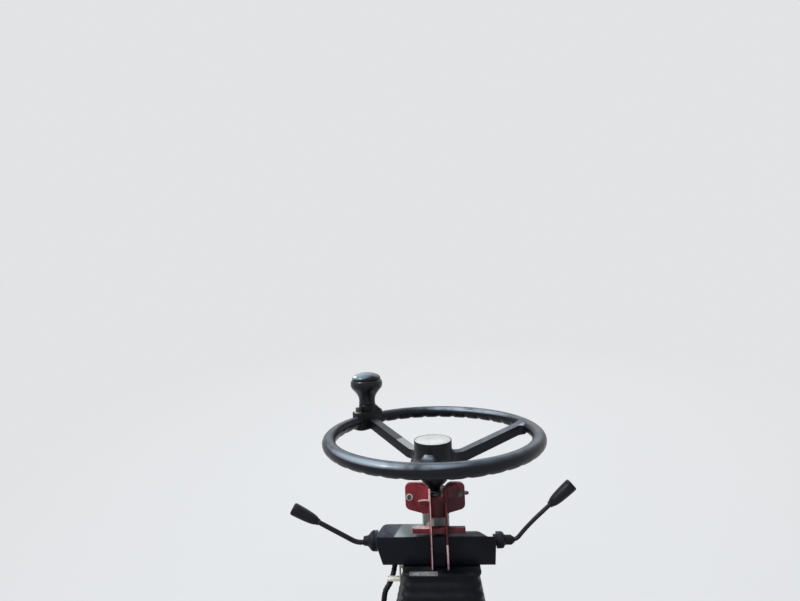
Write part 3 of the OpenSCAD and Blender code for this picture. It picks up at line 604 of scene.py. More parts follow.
def makeSpokes():
    root, flare, rootFlare = take(spoke, "rootEnd flare rootFlare")
    half = spoke["width"] / 2
    flareStart = rim["radius"] - rim["tube"] - flare

    def halfWidth(x):
        if x < root:
            out = (max(x, hub["radius"]) - hub["radius"]) / (root - hub["radius"])
            return half + rootFlare * (1 - out) ** 2.5
        if x <= flareStart:
            return half
        inFlare = min(x - flareStart, flare * 0.995)
        return half + flare - math.sqrt(flare ** 2 - inFlare ** 2)

    def pickTop(x, top, under, test):  # points of a row's top edge by their distance from the middle line
        pick(piece, "verts", lambda v: abs(v.co.x - x) < 1e-5 and v.co.z > (top + under) / 2 and test(abs(v.co.y)))

    rows = spoke["rows"]
    startX, top, under, drop = rows[0]
    centre = (startX, 0, (top + under) / 2)
    piece = newPiece("wheelSpokes", bpy.ops.mesh.primitive_plane_add, size=1, location=centre,
                     rotation=(0, math.pi / 2, 0))
    openMesh(piece)
    takeAll()
    stretch((1, 2 * halfWidth(startX), top - under), centre)
    for (x0, top0, under0, _), (x1, top1, under1, _) in zip(rows, rows[1:]):
        mid0, mid1 = (top0 + under0) / 2, (top1 + under1) / 2
        pull((x1 - x0, 0, mid1 - mid0))
        stretch((1, halfWidth(x1) / halfWidth(x0), (top1 - under1) / (top0 - under0)), (x1, 0, mid1))
    lines = (*spoke["arch"], half - spoke["shoulder"])
    for y in lines:
        for side in (-1, 1):
            cut((0, side * y, 0), (0, 1, 0))
    for x, top, under, drop in rows:  # the flares run down to the rim
        if drop:
            pickTop(x, top, under, lambda out: out > half - spoke["shoulder"] / 2)
            shift((0, 0, -drop))
    for x, top, under, drop in rows:  # the root climbs the hub's wall as a rounded fillet
        for y in (*lines, halfWidth(x)):
            if x < root and top > spoke["rootTop"]:
                pickTop(x, top, under, lambda out: abs(out - y) < 5e-5)
                shift((0, 0, (spoke["rootTop"] - top) * (1 - math.sqrt(1 - (y / halfWidth(x)) ** 2))))
    sealMesh(0)
    ease(piece, spoke["edge"], 4, 50)
    arms = [copyTo(piece, Matrix.Rotation(math.radians(spoke["angle"] + 360 * i / spoke["count"]), 4, "Z"))
            for i in range(spoke["count"])]
    bpy.data.objects.remove(piece)
    piece = join(arms, "wheelSpokes")
    finishPiece(piece, [spokeFoam], "wheel", 40)


def makeHub():
    r, skirt, fillet, top, low, root, cap = take(hub, "radius skirt fillet top floor root cap")
    wall = [(skirt - 0.003, low), (skirt - 0.0008, low + 0.0012), (skirt, low + 0.004), (skirt, root)]
    wall += [p for p in quarterRound(r + fillet, root + fillet, fillet, 245, 180, 8) if p[0] < skirt]
    wall += quarterRound(r - 0.0006, top - 0.0006, 0.0006, 0, 90, 4)
    wall += [(cap + 0.0001, top), (cap, top - 0.0004), (cap, top - 0.003)]
    finishPiece(turn("wheelHub", wall, 96), [hubPlastic], "wheel", 35)
    edge = cap - 0.0002
    dome = [(edge, top - 0.0029), (edge, top - 0.0006), (edge - 0.0004, top - 0.0001), (edge - 0.0022, top + 0.0003),
            (edge - 0.0026, top - 0.0001), (edge - 0.0032, top - 0.0001), (edge - 0.0037, top + 0.0004)]
    dome += [(edge * s, top + 0.0018 - 0.0019 * s * s) for s in (0.8, 0.7, 0.58, 0.45, 0.3, 0.15, 0.04)]
    finishPiece(turn("hubCap", dome, 96), [capLacquer], "wheel", 35)


makeRim()
makeSpokes()
makeHub()
print("wheel made")


# Spinner knob and its clamp

knob = {
    "low": 0.0302, "seam": 0.0765, "top": 0.09, "stem": 0.006, "domeR": 0.0274, "domeLow": 0.0785,
    "bell": [
        (0.0146, 0.0304), (0.0156, 0.0312), (0.0157, 0.0322), (0.0152, 0.0344), (0.0151, 0.0366),
        (0.0153, 0.0394), (0.0159, 0.0424), (0.0168, 0.0454), (0.0184, 0.0484), (0.0204, 0.0514),
        (0.0226, 0.0542), (0.0248, 0.0568), (0.0269, 0.0592), (0.0286, 0.0614), (0.0298, 0.0636),
        (0.0304, 0.066), (0.0305, 0.069), (0.0303, 0.0716), (0.0297, 0.0738), (0.0288, 0.0753), (0.0279, 0.076),
        (0.027, 0.0764)]}
clamp = {
    "width": 0.031, "length": 0.058, "low": -0.0144, "top": 0.0169, "bossTop": 0.0299, "corner": 0.01,
    "bossR": 0.0155, "neckR": 0.0153, "ribHalf": 0.0105, "ribOut": (-0.026, -0.02), "splitHalf": 0.0005,
    "splitDepth": 0.0012, "boltOut": 0.023, "boltR": 0.0046, "boltHigh": (0.0098, 0.004)}


def makeKnob():
    r, low, seam, top = take(knob, "domeR domeLow seam top")
    bore = knob["stem"] + 0.0004
    foot = (bore, knob["low"] + 0.0001)
    piece = turn("knobBody", [foot, *knob["bell"], (bore, seam - 0.0001), foot], 96, ring=True)
    finishPiece(piece, [knobPolish], "knob", 50)
    dome = [(r - 0.0012, seam), (r - 0.0009, seam + 0.0004), (r - 0.0004, seam + 0.0008), (r, low - 0.0004)]
    dome += [(r * math.cos(a), low + (top - low) * math.sin(a))
             for a in (math.radians(step) for step in (4, 10, 17, 24, 32, 40, 49, 58, 67, 76, 84, 88.5))]
    piece = turn("knobCap", dome, 96)
    finishPiece(piece, [knobGloss], "knob", 60)


def hexHead(name, r, height):
    piece = newPiece(name, bpy.ops.mesh.primitive_circle_add, vertices=6, radius=r, fill_type="NGON")
    openMesh(piece)
    takeAll()
    pull((0, 0, height - r * 0.12))
    pull((0, 0, r * 0.12))
    stretch((0.84, 0.84, 1), (0, 0, height))
    sealMesh(0)
    ease(piece, r * 0.05, 1, 25)
    return piece


def makeBolt(headR, high, washer, thick, finishes, spot, twist=0.0):  # a hexagon head over a washer
    head = hexHead("head", headR, high - thick)
    place(head, Matrix.Translation((0, 0, thick)) @ Matrix.Rotation(twist, 4, "Z"))
    ring = turn("washer", washer, 28)
    dress(head, finishes[:1])
    dress(ring, finishes[1:])
    bolt = join([head, ring], "bolt")
    place(bolt, spot)
    return bolt


def makeClamp():
    low, top, rib, split, bossR, neckR, bossTop = take(clamp, "low top ribHalf splitHalf bossR neckR bossTop")
    w, l = clamp["width"] / 2, clamp["length"] / 2
    block = startBox("knobClamp", (-w, -l, low), (w, l, top))
    openMesh(block, "EDGE")
    pick(block, "edges", lambda e: abs(middle(e).z - (low + top) / 2) < 0.001)
    bpy.ops.mesh.bevel(offset=clamp["corner"], segments=6)
    for z in (-split, split):
        cut((0, 0, z), (0, 0, 1))
    bpy.ops.mesh.select_mode(type="FACE")
    pick(block, "faces", lambda f: abs(middle(f).z) < split * 0.9)
    sink(clamp["splitDepth"])
    closeMesh()
    ease(block, 0.0012, 3, 40)
    boss = turn("clampBoss", [(bossR, top - 0.002), (bossR, top), (neckR + 0.0006, bossTop - 0.0012),
                              (neckR - 0.0004, bossTop)], 48)
    far, near = clamp["ribOut"]
    foot = startBox("ribFoot", (-rib, far, top - 0.002), (rib, near, top))
    boss = join([boss, foot], "clampBoss")
    openMesh(boss)
    takeAll()
    bpy.ops.mesh.convex_hull()  # the boss runs down to the clamp's far end as a rib
    closeMesh()
    ease(boss, 0.0008, 2, 28)
    piece = join([block, boss], "knobClamp")
    finishPiece(piece, [leverPlastic], "wheel", 35, knobPlace)
    washer = [(0.0066, 0), (0.0069, 0.0003), (0.0069, 0.0015), (0.0065, 0.0018)]
    over, under = (makeBolt(clamp["boltR"], high, washer, 0.0012, [darkBolt, zincPlate],
                            onAxis(0, side * clamp["boltOut"], level, [(flip, "X")]))
                   for side, level, flip, high in ((1, top, 0, clamp["boltHigh"][0]),
                                                   (-1, low, 180, clamp["boltHigh"][1])))
    piece = join([over, under], "clampBolts")
    finishPiece(piece, [darkBolt, zincPlate], "wheel", 25, knobPlace)


makeKnob()
makeClamp()
print("knob made")


# Tools for sheet metal, mouldings and tubes

def drawPlate(name, outline, start, depth, plane="xz", rounds=()):
    # one corner point is drawn along the outline, which is filled and drawn to its depth
    u, v = ("xyz".index(letter) for letter in plane)
    w = 3 - u - v

    def at(point):
        spot = [0.0, 0.0, 0.0]
        spot[u], spot[v], spot[w] = point[0], point[1], start
        return Vector(spot)

    piece = newPiece(name, bpy.ops.mesh.primitive_plane_add, size=0.001)
    openMesh(piece, "VERT")
    takeAll()
    bpy.ops.mesh.merge(type="CENTER")
    shift(at(outline[0]))
    for a, b in zip(outline, outline[1:] + outline[:1]):
        pull(at(b) - at(a))
    takeAll()
    bpy.ops.mesh.remove_doubles(threshold=1e-6)
    bpy.ops.mesh.edge_face_add()
    for point, radius, steps in rounds:
        pick(piece, "verts", lambda p: (p.co - at(point)).length < 1e-5)
        bpy.ops.mesh.bevel(offset=radius, segments=steps, affect="VERTICES")
    if depth:
        push = [0.0, 0.0, 0.0]
        push[w] = depth
        bpy.ops.mesh.select_mode(type="FACE")
        takeAll()
        pull(push)
        takeAll()
        bpy.ops.mesh.normals_make_consistent(inside=False)
    closeMesh()
    return piece


def fromCad(name, node, where=None):  # a solid's own mesh, merged and freed of flat seams, to model on
    source = frame["nodes"][node]
    piece = bpy.data.objects.new(name, source.data.copy())
    bpy.context.collection.objects.link(piece)
    piece.data.name = name
    piece.data.materials.clear()
    piece.matrix_world = source.matrix_world.copy()
    place(piece, where.inverted() if where is not None else Matrix.Identity(4))
    bpy.ops.mesh.customdata_custom_splitnormals_clear()
    openMesh(piece, "VERT")
    takeAll()
    bpy.ops.mesh.remove_doubles(threshold=2e-6)
    bpy.ops.mesh.dissolve_limited(angle_limit=math.radians(0.6))
    sealMesh(0)
    return piece


def roundEdges(piece, width, steps, test, least=0.5):  # rounds the sharp edges that pass the test
    openMesh(piece, "EDGE")
    pick(piece, "edges", lambda e: len(e.link_faces) == 2 and e.calc_face_angle(0) > least and test(e))
    bpy.ops.mesh.bevel(offset=width, segments=steps, clamp_overlap=True)
    closeMesh()


def everyVert(edge, test):
    return all(test(v.co) for v in edge.verts)


def tube(name, route, r, sides):  # a curve with a round section, turned into a mesh
    selectNothing()
    bpy.ops.curve.primitive_nurbs_path_add()
    curve = bpy.context.active_object
    curve.data.splines.clear()
    line = curve.data.splines.new("POLY")
    line.points.add(len(route) - 1)
    for point, spot in zip(line.points, route):
        point.co = (*spot, 1)
    curve.data.bevel_depth = r
    curve.data.bevel_resolution = sides // 2 - 2
    curve.data.use_fill_caps = True
    bpy.ops.object.convert(target="MESH")
    piece = nameIt(name)
    openMesh(piece, "VERT")
    sealMesh()
    return piece


def bendRoute(route, radius, steps):  # rounds the corners of a route
    points = [Vector(route[0])]
    for before, corner, after in zip(route, route[1:], route[2:]):
        corner = Vector(corner)
        back, ahead = (Vector(before) - corner), (Vector(after) - corner)
        reach = min(radius, back.length * 0.48, ahead.length * 0.48)
        first, last = corner + back.normalized() * reach, corner + ahead.normalized() * reach
        for i in range(steps + 1):
            t = i / steps
            points.append(first * (1 - t) ** 2 + corner * 2 * t * (1 - t) + last * t ** 2)
    points.append(Vector(route[-1]))
    return points


# Column, red bracket and bolts

bracket = {
    "back": -0.022, "sheet": 0.003, "half": 0.0475, "top": -0.068, "lowCorner": -0.1098, "neckHalf": 0.0215,
    "neckLow": -0.118, "notchLeft": -0.007, "notchRight": 0.011, "notchLow": -0.093, "flare": 0.012,
    "flareLow": -0.079, "left": -0.01, "right": 0.018, "reach": 0.02, "earTop": -0.072, "earLow": -0.091,
    "flangeLow": -0.1968, "webLow": -0.123, "wornAndSunlitLow": -0.157, "lip": 0.003, "lipDrop": 0.007,
    "wornAndSunlitWide": 0.0017, "edge": 0.0007, "wingEdge": 0.0011}
crossbar = {
    "spans": ((-0.0375, -0.01), (-0.007, 0.015), (0.018, 0.0455)), "front": -0.039, "low": -0.143,
    "high": 0.009, "sheet": 0.003, "depth": 0.008}
wingBolts = {
    # the left washer is zinc, the right one is drawn blackened as painted shade
    "heads": ((-0.0408, -0.0907, 0.0046, zincPlate), (0.0395, -0.087, 0.004, darkBolt)), "high": 0.0045,
    "face": -0.025, "nub": (0.0475, -0.0235, -0.086), "nubR": 0.003, "nubLen": 0.006}
jacket = {
    "r": 0.022, "wall": 0.003, "bore": 0.00855, "top": -0.088, "bearing": 0.024, "shadedReach": 0.012,
    "belt": -0.1465, "low": -0.413}
shaft = {
    "sides": 64, "bowl": [
        (0.024, -0.0541), (0.024, -0.0655), (0.0237, -0.0676), (0.0228, -0.0704), (0.0213, -0.0732),
        (0.0192, -0.0758), (0.0165, -0.078), (0.0135, -0.0798), (0.0112, -0.0816), (0.01, -0.0838),
        (0.0095, -0.0856), (0.0085, -0.0862), (0.0085, -0.1194), (0.0079, -0.12)]}


def makeWings():
    b = bracket
    half, top, corner, neck, low = take(b, "half top lowCorner neckHalf neckLow")
    left, right, deep, mouth = take(b, "notchLeft notchRight notchLow flareLow")
    flares = (right + b["flare"], left - b["flare"])  # the notch widens upwards
    outline = [(-neck, low), (neck, low), (neck, low + 0.001), (half, corner), (half, top), (flares[0], top),
               (right, mouth), (right, deep), (left, deep), (left, mouth), (flares[1], top), (-half, top),
               (-half, corner), (-neck, low + 0.001)]
    rounds = [((x, z), radius, 7) for z, radius in ((top, 0.009), (corner, 0.0069)) for x in (-half, half)]
    rounds += [((x, deep), 0.0035, 4) for x in (left, right)] + [((x, top), 0.003, 3) for x in flares]
    piece = drawPlate("bracketWings", outline, b["back"], -b["sheet"], rounds=rounds)
    # the pale edge faces stand for worn paint and for painted sunlight on the edges
    ease(piece, b["wingEdge"], 2, 40, edgeFinish=1)
    finishPiece(piece, [redPaint, wornAndSunlitRed], "column", 30)


def makeChannel():
    b = bracket
    left, right, sheet, reach, earLow, earTop = take(b, "left right sheet reach earLow earTop")
    flangeLow, webLow, lip, lipDrop = take(b, "flangeLow webLow lip lipDrop")
    front = b["back"] - sheet
    nose = front - reach
    parts = []
    for x, side in ((left, -1), (right - sheet, 1)):
        outline = [(front, earLow), (front, flangeLow), (nose, flangeLow), (nose, earLow)]
        parts.append(drawPlate("flange", outline, x, sheet, "yz", [((nose, flangeLow), 0.003, 4)]))
        section = [(x, earLow), (x + sheet, earLow), (x + sheet, earTop), (x, earTop)]
        ear = drawPlate("ear", section, nose, 0)
        centre = left + sheet - reach if side < 0 else right - sheet + reach
        openMesh(ear)
        takeAll()
        bpy.ops.mesh.spin(steps=10, angle=math.radians(90) * side, center=(centre, nose, 0), axis=(0, 0, 1))
        sealMesh()
        parts.append(ear)
    web = [(left, earLow), (right, earLow), (right, webLow), (left, webLow)]
    parts.append(drawPlate("web", web, front, -sheet))
    flangeLeft, earLeft, flangeRight = parts[:3]
    wornAndSunlitFrom = left + sheet - b["wornAndSunlitWide"]
    openMesh(flangeLeft)
    cut((wornAndSunlitFrom, 0, 0), (1, 0, 0))
    closeMesh()
    openMesh(earLeft)
    for spot, normal in (((0, nose + lip, 0), (0, 1, 0)), ((0, 0, earLow + lip), (0, 0, 1))):
        cut(spot, normal)
    bpy.ops.mesh.select_mode(type="VERT")
    lipTop, hinge = earLow + lip, left + sheet - reach
    for i in range(1, 11):  # the ear's lip hangs lower towards the wing
        pick(earLeft, "verts", lambda v: v.co.z < lipTop + 0.0002
             and abs(math.degrees(math.atan2(v.co.y - nose, v.co.x - hinge)) - 9 * i) < 4.5)
        shift((0, 0, -lipDrop * i / 10))
    closeMesh()
    openMesh(flangeRight)
    cut((0, 0, b["wornAndSunlitLow"]), (0, 0, 1))
    closeMesh()
    for part in parts:
        ease(part, b["edge"], 2, 40, edgeFinish=1)
    wornAndSunlitParts = {
        flangeLeft.name: lambda c: c.y < nose + 0.0009 and c.x > wornAndSunlitFrom,
        flangeRight.name: lambda c: c.y < nose + 0.0009 and c.z < b["wornAndSunlitLow"],
        earLeft.name: lambda c: c.y < nose + lip or c.z < lipTop - lipDrop * (c.y - nose) / reach}
    for part in parts:  # paint rubbed off by the operator's knees, and painted sunlight on the left edges and the lower right flange edge
        isWornAndSunlit = wornAndSunlitParts.get(part.name, lambda c: False)
        dress(part, [redPaint, wornAndSunlitRed], lambda face: isWornAndSunlit(face.center))
    for x in (left, right):  # weld beads where the flanges meet the wing plate
        bead = tube("weld", [(x, front - 0.0002, earLow - 0.002 - 0.0012 * i) for i in range(20)], 0.0011, 8)
        openMesh(bead, "VERT")
        pick(bead, "verts", lambda v: round((earLow - v.co.z) / 0.0012) % 2 == 0)
        bpy.ops.transform.shrink_fatten(value=0.0003)
        closeMesh()
        dress(bead, [redPaint])
        parts.append(bead)
    piece = join(parts, "bracketChannel")
    finishPiece(piece, [redPaint, wornAndSunlitRed], "column", 30)


def makeCrossbar():
    c = crossbar
    front, low, top = c["front"], c["low"], c["low"] + c["high"]
    inner, back, roof = front + c["sheet"], front + c["depth"], top - c["sheet"]
    outline = [(front, low), (inner, low), (inner, roof), (back, roof), (back, top), (front, top)]
    parts = [drawPlate("bar", outline, x0, x1 - x0, "yz", [((front, top), 0.0016, 3)]) for x0, x1 in c["spans"]]
    for part in parts:
        ease(part, 0.0006, 2, 50, edgeFinish=1)
        left = part is parts[0]  # only the left bar is drawn pale on its edges and its top, as worn paint and painted sunlight
        dress(part, [redPaint, wornAndSunlitRed], lambda face: left and (face.material_index or face.center.z > top - 0.0007))
    piece = join(parts, "bracketCrossbar")
    finishPiece(piece, [redPaint, wornAndSunlitRed], "column", 35)


def makeBolts():
    parts = []
    for x, z, r, plate in wingBolts["heads"]:
        washer = [(r + 0.0008, 0), (r + 0.001, 0.0003), (r + 0.0009, 0.0009), (r + 0.0004, 0.0011)]
        spot = onAxis(x, wingBolts["face"], z, [(90, "X")])
        parts.append(makeBolt(r * 0.86, wingBolts["high"], washer, 0.0011, [darkBolt, plate], spot, 0.3))
    r, length = wingBolts["nubR"], wingBolts["nubLen"]
    nub = turn("nub", [(r * 0.9, 0), (r, 0.0004), (r, length * 0.55), (r * 0.8, length * 0.6),
                       (r * 0.8, length - 0.0006), (r * 0.55, length)], 24)
    place(nub, onAxis(*wingBolts["nub"], [(90, "Y")]))
    dress(nub, [darkBolt])
    piece = join(parts + [nub], "bracketBolts")
    finishPiece(piece, [darkBolt, zincPlate], "column", 28)


def makeColumn():
    r, bore, top, low = take(jacket, "r bore top low")
    inner, bearing, shadedLow = r - jacket["wall"], top - jacket["bearing"], top - jacket["shadedReach"]
    skin = [(bore, top - 0.0008), (bore + 0.0008, top), (0.0145, top), (0.0148, top - 0.0006),
            (0.0172, top - 0.0006), (0.0175, top), (r - 0.0012, top), (r - 0.0003, top - 0.0004),
            (r, top - 0.0012), (r, shadedLow), (r, jacket["belt"]), (r, low), (inner, low),
            (inner, bearing), (bore, bearing), (bore, top - 0.0008)]
    piece = turn("columnJacket", skin, 72, ring=True)
    dress(piece, [greyPaint, darkBolt], lambda face: face.center.z > shadedLow)  # painted shade: the top end is drawn dark
    finishPiece(piece, [greyPaint, darkBolt], "column", 30)
    piece = turn("steeringShaft", shaft["bowl"], shaft["sides"])
    finishPiece(piece, [hubPlastic], "wheel", 30)


makeWings()
makeChannel()
makeCrossbar()
makeBolts()
makeColumn()
print("bracket made")


# Switch housing, boots and levers

housing = {
    "seam": -0.172, "seamHalf": 0.00035, "seamDeep": 0.0006, "round": 0.0032, "seat": 0.022, "bossFrom": 0.074,
    "end": 0.0955, "left": {"inner": 0.01, "bossR": 0.0118}, "right": {"inner": 0.018, "bossR": 0.0086}}
middleBlock = {
    "low": (-0.0068, -0.036, -0.194), "high": (0.0148, -0.0222, -0.15), "ribLow": -0.193, "ribTop": -0.1735,
    "pitch": 0.0018, "edge": 0.0012}
boots = {
    "face": 0.101, "height": -0.172, "sides": 40, "blend": 0.026,
    "left": [
        (0.0152, 0), (0.0157, 0.0012), (0.0158, 0.0026), (0.0153, 0.0046), (0.0143, 0.0062), (0.0125, 0.008),
        (0.0108, 0.0094), (0.0095, 0.0106), (0.0086, 0.0118), (0.008, 0.013), (0.0077, 0.014), (0.0079, 0.0147),
        (0.0076, 0.0156), (0.0073, 0.0166), (0.0073, 0.0182), (0.007, 0.0192), (0.0063, 0.0195),
        (0.0058, 0.0192), (0.0058, 0.016), (0.0067, 0.0122), (0.008, 0.0085), (0.0128, 0.005), (0.0132, 0),
        (0.0152, 0)],
    "right": [
        (0.0122, 0), (0.0126, 0.0012), (0.0126, 0.0028), (0.0123, 0.0048), (0.0118, 0.0064), (0.0106, 0.0076),
        (0.009, 0.0083), (0.008, 0.0092), (0.0075, 0.0106), (0.0073, 0.0112), (0.0075, 0.0122),
        (0.0073, 0.0132), (0.0075, 0.0146), (0.0073, 0.0156), (0.0075, 0.017), (0.0073, 0.0184), (0.0072, 0.02),
        (0.0066, 0.021), (0.0055, 0.0217), (0.005, 0.0234), (0.0047, 0.024), (0.0039, 0.024), (0.0036, 0.0236),
        (0.0036, 0.02), (0.0058, 0.018), (0.0059, 0.0125), (0.0078, 0.009), (0.0098, 0.0055), (0.0102, 0),
        (0.0122, 0)]}
levers = {
    "rodR": {"left": 0.0039, "right": 0.0032}, "ballR": 0.006, "height": -0.172, "trunnionR": 0.0025,
    "trunnion": 0.015, "bend": 0.012, "left": [(-0.1073, 0), (-0.13, -0.0038), (-0.194, 0.0307)],
    "right": [(0.1073, 0), (0.129, 0), (0.14, 0.0132), (0.157, 0.0306), (0.1843, 0.0549)],
    "grip": [
        (0.0038, 0.0001), (0.0047, 0.0002), (0.0051, 0.0012), (0.0052, 0.0026), (0.005, 0.0032),
        (0.0054, 0.004), (0.0065, 0.0062), (0.0073, 0.0092), (0.008, 0.013), (0.0086, 0.0175), (0.009, 0.0225),
        (0.0094, 0.029), (0.0097, 0.035), (0.0099, 0.042), (0.01, 0.0457), (0.0098, 0.0481), (0.0092, 0.0497),
        (0.0082, 0.0504), (0.006, 0.0506), (0.003, 0.0506)]}


def makeHousing(key):
    seam, seamHalf, seatR, end = take(housing, "seam seamHalf seat end")
    inner, bossR = take(housing[key], "inner bossR")
    piece = fromCad("housing" + key.title(), "housing_" + key, columnPlace)

    def onBoss(p):
        nearBoss = math.hypot(p.y, p.z - seam) < bossR + 0.0004
        return abs(p.x) > housing["bossFrom"] and nearBoss or abs(p.x) > end + 0.0008

    def onBlock(e):
        inside = everyVert(e, lambda p: abs(p.x) < inner + 0.0003)
        seat = everyVert(e, lambda p: math.hypot(p.x, p.y) < seatR + 0.0008)
        return not inside and not seat and not any(onBoss(v.co) for v in e.verts)

    def onSeam(f):  # the seam shows at the ends and the back
        spot = middle(f)
        outside = inner + 0.002 < abs(spot.x) < end and spot.to_2d().length > seatR + 0.001
        upright = abs(f.normal.z) < 0.5 and f.normal.y > -0.7
        return outside and upright and abs(spot.z - seam) < seamHalf * 0.8

    roundEdges(piece, housing["round"], 4, onBlock, 0.35)
    openMesh(piece)
    for z in (seam - seamHalf, seam + seamHalf):
        cut((0, 0, z), (0, 0, 1))
    pick(piece, "faces", onSeam)
    sink(housing["seamDeep"])
    closeMesh()
    finishPiece(piece, [housingPlastic], "column", 28)


def makeCentreBlock():
    low, high, ribLow, ribTop, pitch, edge = take(middleBlock, "low high ribLow ribTop pitch edge")
    piece = startBox("housingCentre", low, high)
    openMesh(piece)
    for z in (ribLow, ribTop):
        cut((0, 0, z), (0, 0, 1))
    first = low[0] + edge
    count = int((high[0] - first - edge) / pitch)
    for i in range(count + 1):
        cut((first + i * pitch, 0, 0), (1, 0, 0))

    def onRib(f):
        spot = middle(f)
        along = (spot.x - first) / pitch
        return f.normal.y < -0.9 and ribLow < spot.z < ribTop and 0 < along < count and int(along) % 2 == 0

    pick(piece, "faces", onRib)
    sink(edge)
    closeMesh()
    ease(piece, 0.0006, 2, 40)
    finishPiece(piece, [housingPlastic], "column", 30)


def makeBoot(key, side):
    piece = turn("boot" + key.title(), boots[key], boots["sides"], ring=True)
    place(piece, columnPlace @ onAxis(side * boots["face"], 0, boots["height"], [(90 * side, "Y")]))
    finishPiece(piece, [gaiterRubber], None, 50)
    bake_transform(piece)


def makeLever(key):
    body = key + "_lever"
    route = [(x, 0, levers["height"] + z) for x, z in levers[key]]
    rod = tube("rod", bendRoute(route, levers["bend"], 8), levers["rodR"][key], 20)
    ball = newPiece("ball", bpy.ops.mesh.primitive_uv_sphere_add, segments=24, ring_count=16,
                    radius=levers["ballR"], location=route[0])
    r, half = levers["trunnionR"], levers["trunnion"] / 2
    pin = turn("pin", [(r * 0.8, -half), (r, -half + 0.0005), (r, half - 0.0005), (r * 0.8, half)], 20)
    place(pin, Matrix.Translation(route[0]))
    piece = join([rod, ball, pin], "lever" + key.title())
    finishPiece(piece, [leverPlastic], body, 40)
    grip = turn("grip" + key.title(), levers["grip"], 40)
    ahead = Vector(route[-1]) - Vector(route[-2])
    turned = Vector((0, 0, 1)).rotation_difference(ahead).to_matrix().to_4x4()
    finishPiece(grip, [leverPlastic], body, 35,
                columnPlace @ Matrix.Translation(route[-1]) @ turned)


makeHousing("left")
makeHousing("right")
makeCentreBlock()
makeBoot("left", -1)
makeBoot("right", 1)
makeLever("left")
makeLever("right")
print("housing and levers made")


# Gaiter, collar and wiring

collar = {
    "round": 0.0024, "reach": 0.03, "leftSide": -0.055, "scuffed": (-0.044, -0.0005), "glareBack": -0.0455}
gaiter = {
    "pleats": 15, "stepsPerPleat": 4, "deep": 0.0025, "wall": 0.0025, "foot": (0.094, 0.086),
    "top": (0.058, 0.05), "corner": 0.02, "footZ": 0.36, "topZ": -0.2033, "lean": 14.0, "side": 0.006,
    "bendStart": (0, 0.09, 0.361), "bendEnd": (0, 0.1309, 0.5249)}
conduit = {
    "column": [
        (-0.062, 0.0303, -0.183), (-0.062, 0.038, -0.183), (-0.065, 0.044, -0.19), (-0.068, 0.043, -0.204),
        (-0.071, 0.028, -0.218), (-0.074, 0.005, -0.229), (-0.078, -0.013, -0.233), (-0.085, -0.02, -0.242),
        (-0.088, -0.022, -0.257)],
    "world": [
        (-0.091, 0.026, 0.475), (-0.098, 0.022, 0.44), (-0.108, 0.018, 0.41), (-0.115, 0.015, 0.388),
        (-0.119, 0.014, 0.375), (-0.119, 0.014, 0.369)],
    "r": 0.0045, "groove": 0.0006, "ring": 0.0012}
gland = {"spot": (-0.119, 0.014, 0.36), "nutR": 0.0085, "nutHigh": 0.004, "high": 0.009, "domeR": 0.007}


def makeCollar():
    piece = fromCad("gaiterCollar", "gaiter_collar", columnPlace)
    side = collar["leftSide"]
    roundEdges(piece, collar["round"], 4,
               lambda e: everyVert(e, lambda p: p.to_2d().length > collar["reach"] and p.x > side - 0.0005))
    openMesh(piece)
    for x in (side - 0.0006, *collar["scuffed"]):
        cut((x, 0, 0), (1, 0, 0))
    cut((0, collar["glareBack"], 0), (0, 1, 0))
    closeMesh()
    roundEdges(piece, 0.0005, 2, lambda e: everyVert(e, lambda p: p.x < side - 0.0008))
    start, end = collar["scuffed"]
    finishes = [gaiterRubber, zincPlate, scuffed]
    # painted highlight: a pale strip of glare along the collar's front top edge
    dress(piece, finishes, lambda face: 1 if face.center.x < side - 0.0006 else 2 * (
        face.normal.z > 0.12 and face.center.y < collar["glareBack"] and start < face.center.x < end))
    finishPiece(piece, finishes, "column", 35)


def makeGaiter():
    g = gaiter
    foot = Vector((0, 0, g["footZ"]))
    top = columnPlace @ Vector((0, 0, g["topZ"])) + Vector((g["side"], 0, 0))
    count = g["pleats"] * g["stepsPerPleat"]
    rings = []
    for i in range(count + 1):
        fold = 0.5 - 0.5 * math.cos(2 * math.pi * i / g["stepsPerPleat"])
        rings.append((i / count, -g["deep"] * fold))
    for i in range(count // 2, -1, -1):
        rings.append((2 * i / count, -g["wall"] - g["deep"] * (i % 2)))
    rings.append(rings[0])

    def ringAt(t, swell):
        half = [a + (b - a) * t + swell for a, b in zip(g["foot"], g["top"])]
        return foot.lerp(top, t), half, -g["lean"] * t

    centre, half, tilt = ringAt(*rings[0])
    piece = newPiece("gaiter", bpy.ops.mesh.primitive_plane_add, size=2, location=centre,
                     scale=(half[0], half[1], 1))
    openMesh(piece, "VERT")
    takeAll()
    stretch((half[0], half[1], 1), centre)
    bpy.ops.mesh.bevel(offset=g["corner"], segments=7, affect="VERTICES")
    bpy.ops.mesh.select_mode(type="EDGE")
    takeAll()
    bpy.ops.mesh.subdivide(number_cuts=1)
    takeAll()
    bpy.ops.mesh.delete(type="ONLY_FACE")
    takeAll()
    for t, swell in rings[1:]:
        before, halfBefore, tiltBefore = centre, half, tilt
        centre, half, tilt = ringAt(t, swell)
        pull(centre - before)
        sx, sy = half[0] / halfBefore[0], half[1] / halfBefore[1]
        stretch((sx, sy, sy), centre)
        if tilt != tiltBefore:
            bpy.ops.transform.rotate(value=math.radians(tiltBefore - tilt), orient_axis="X", center_override=centre)
    sealMesh(2e-5)
    finishPiece(piece, [gaiterRubber], None, 60)
    return piece


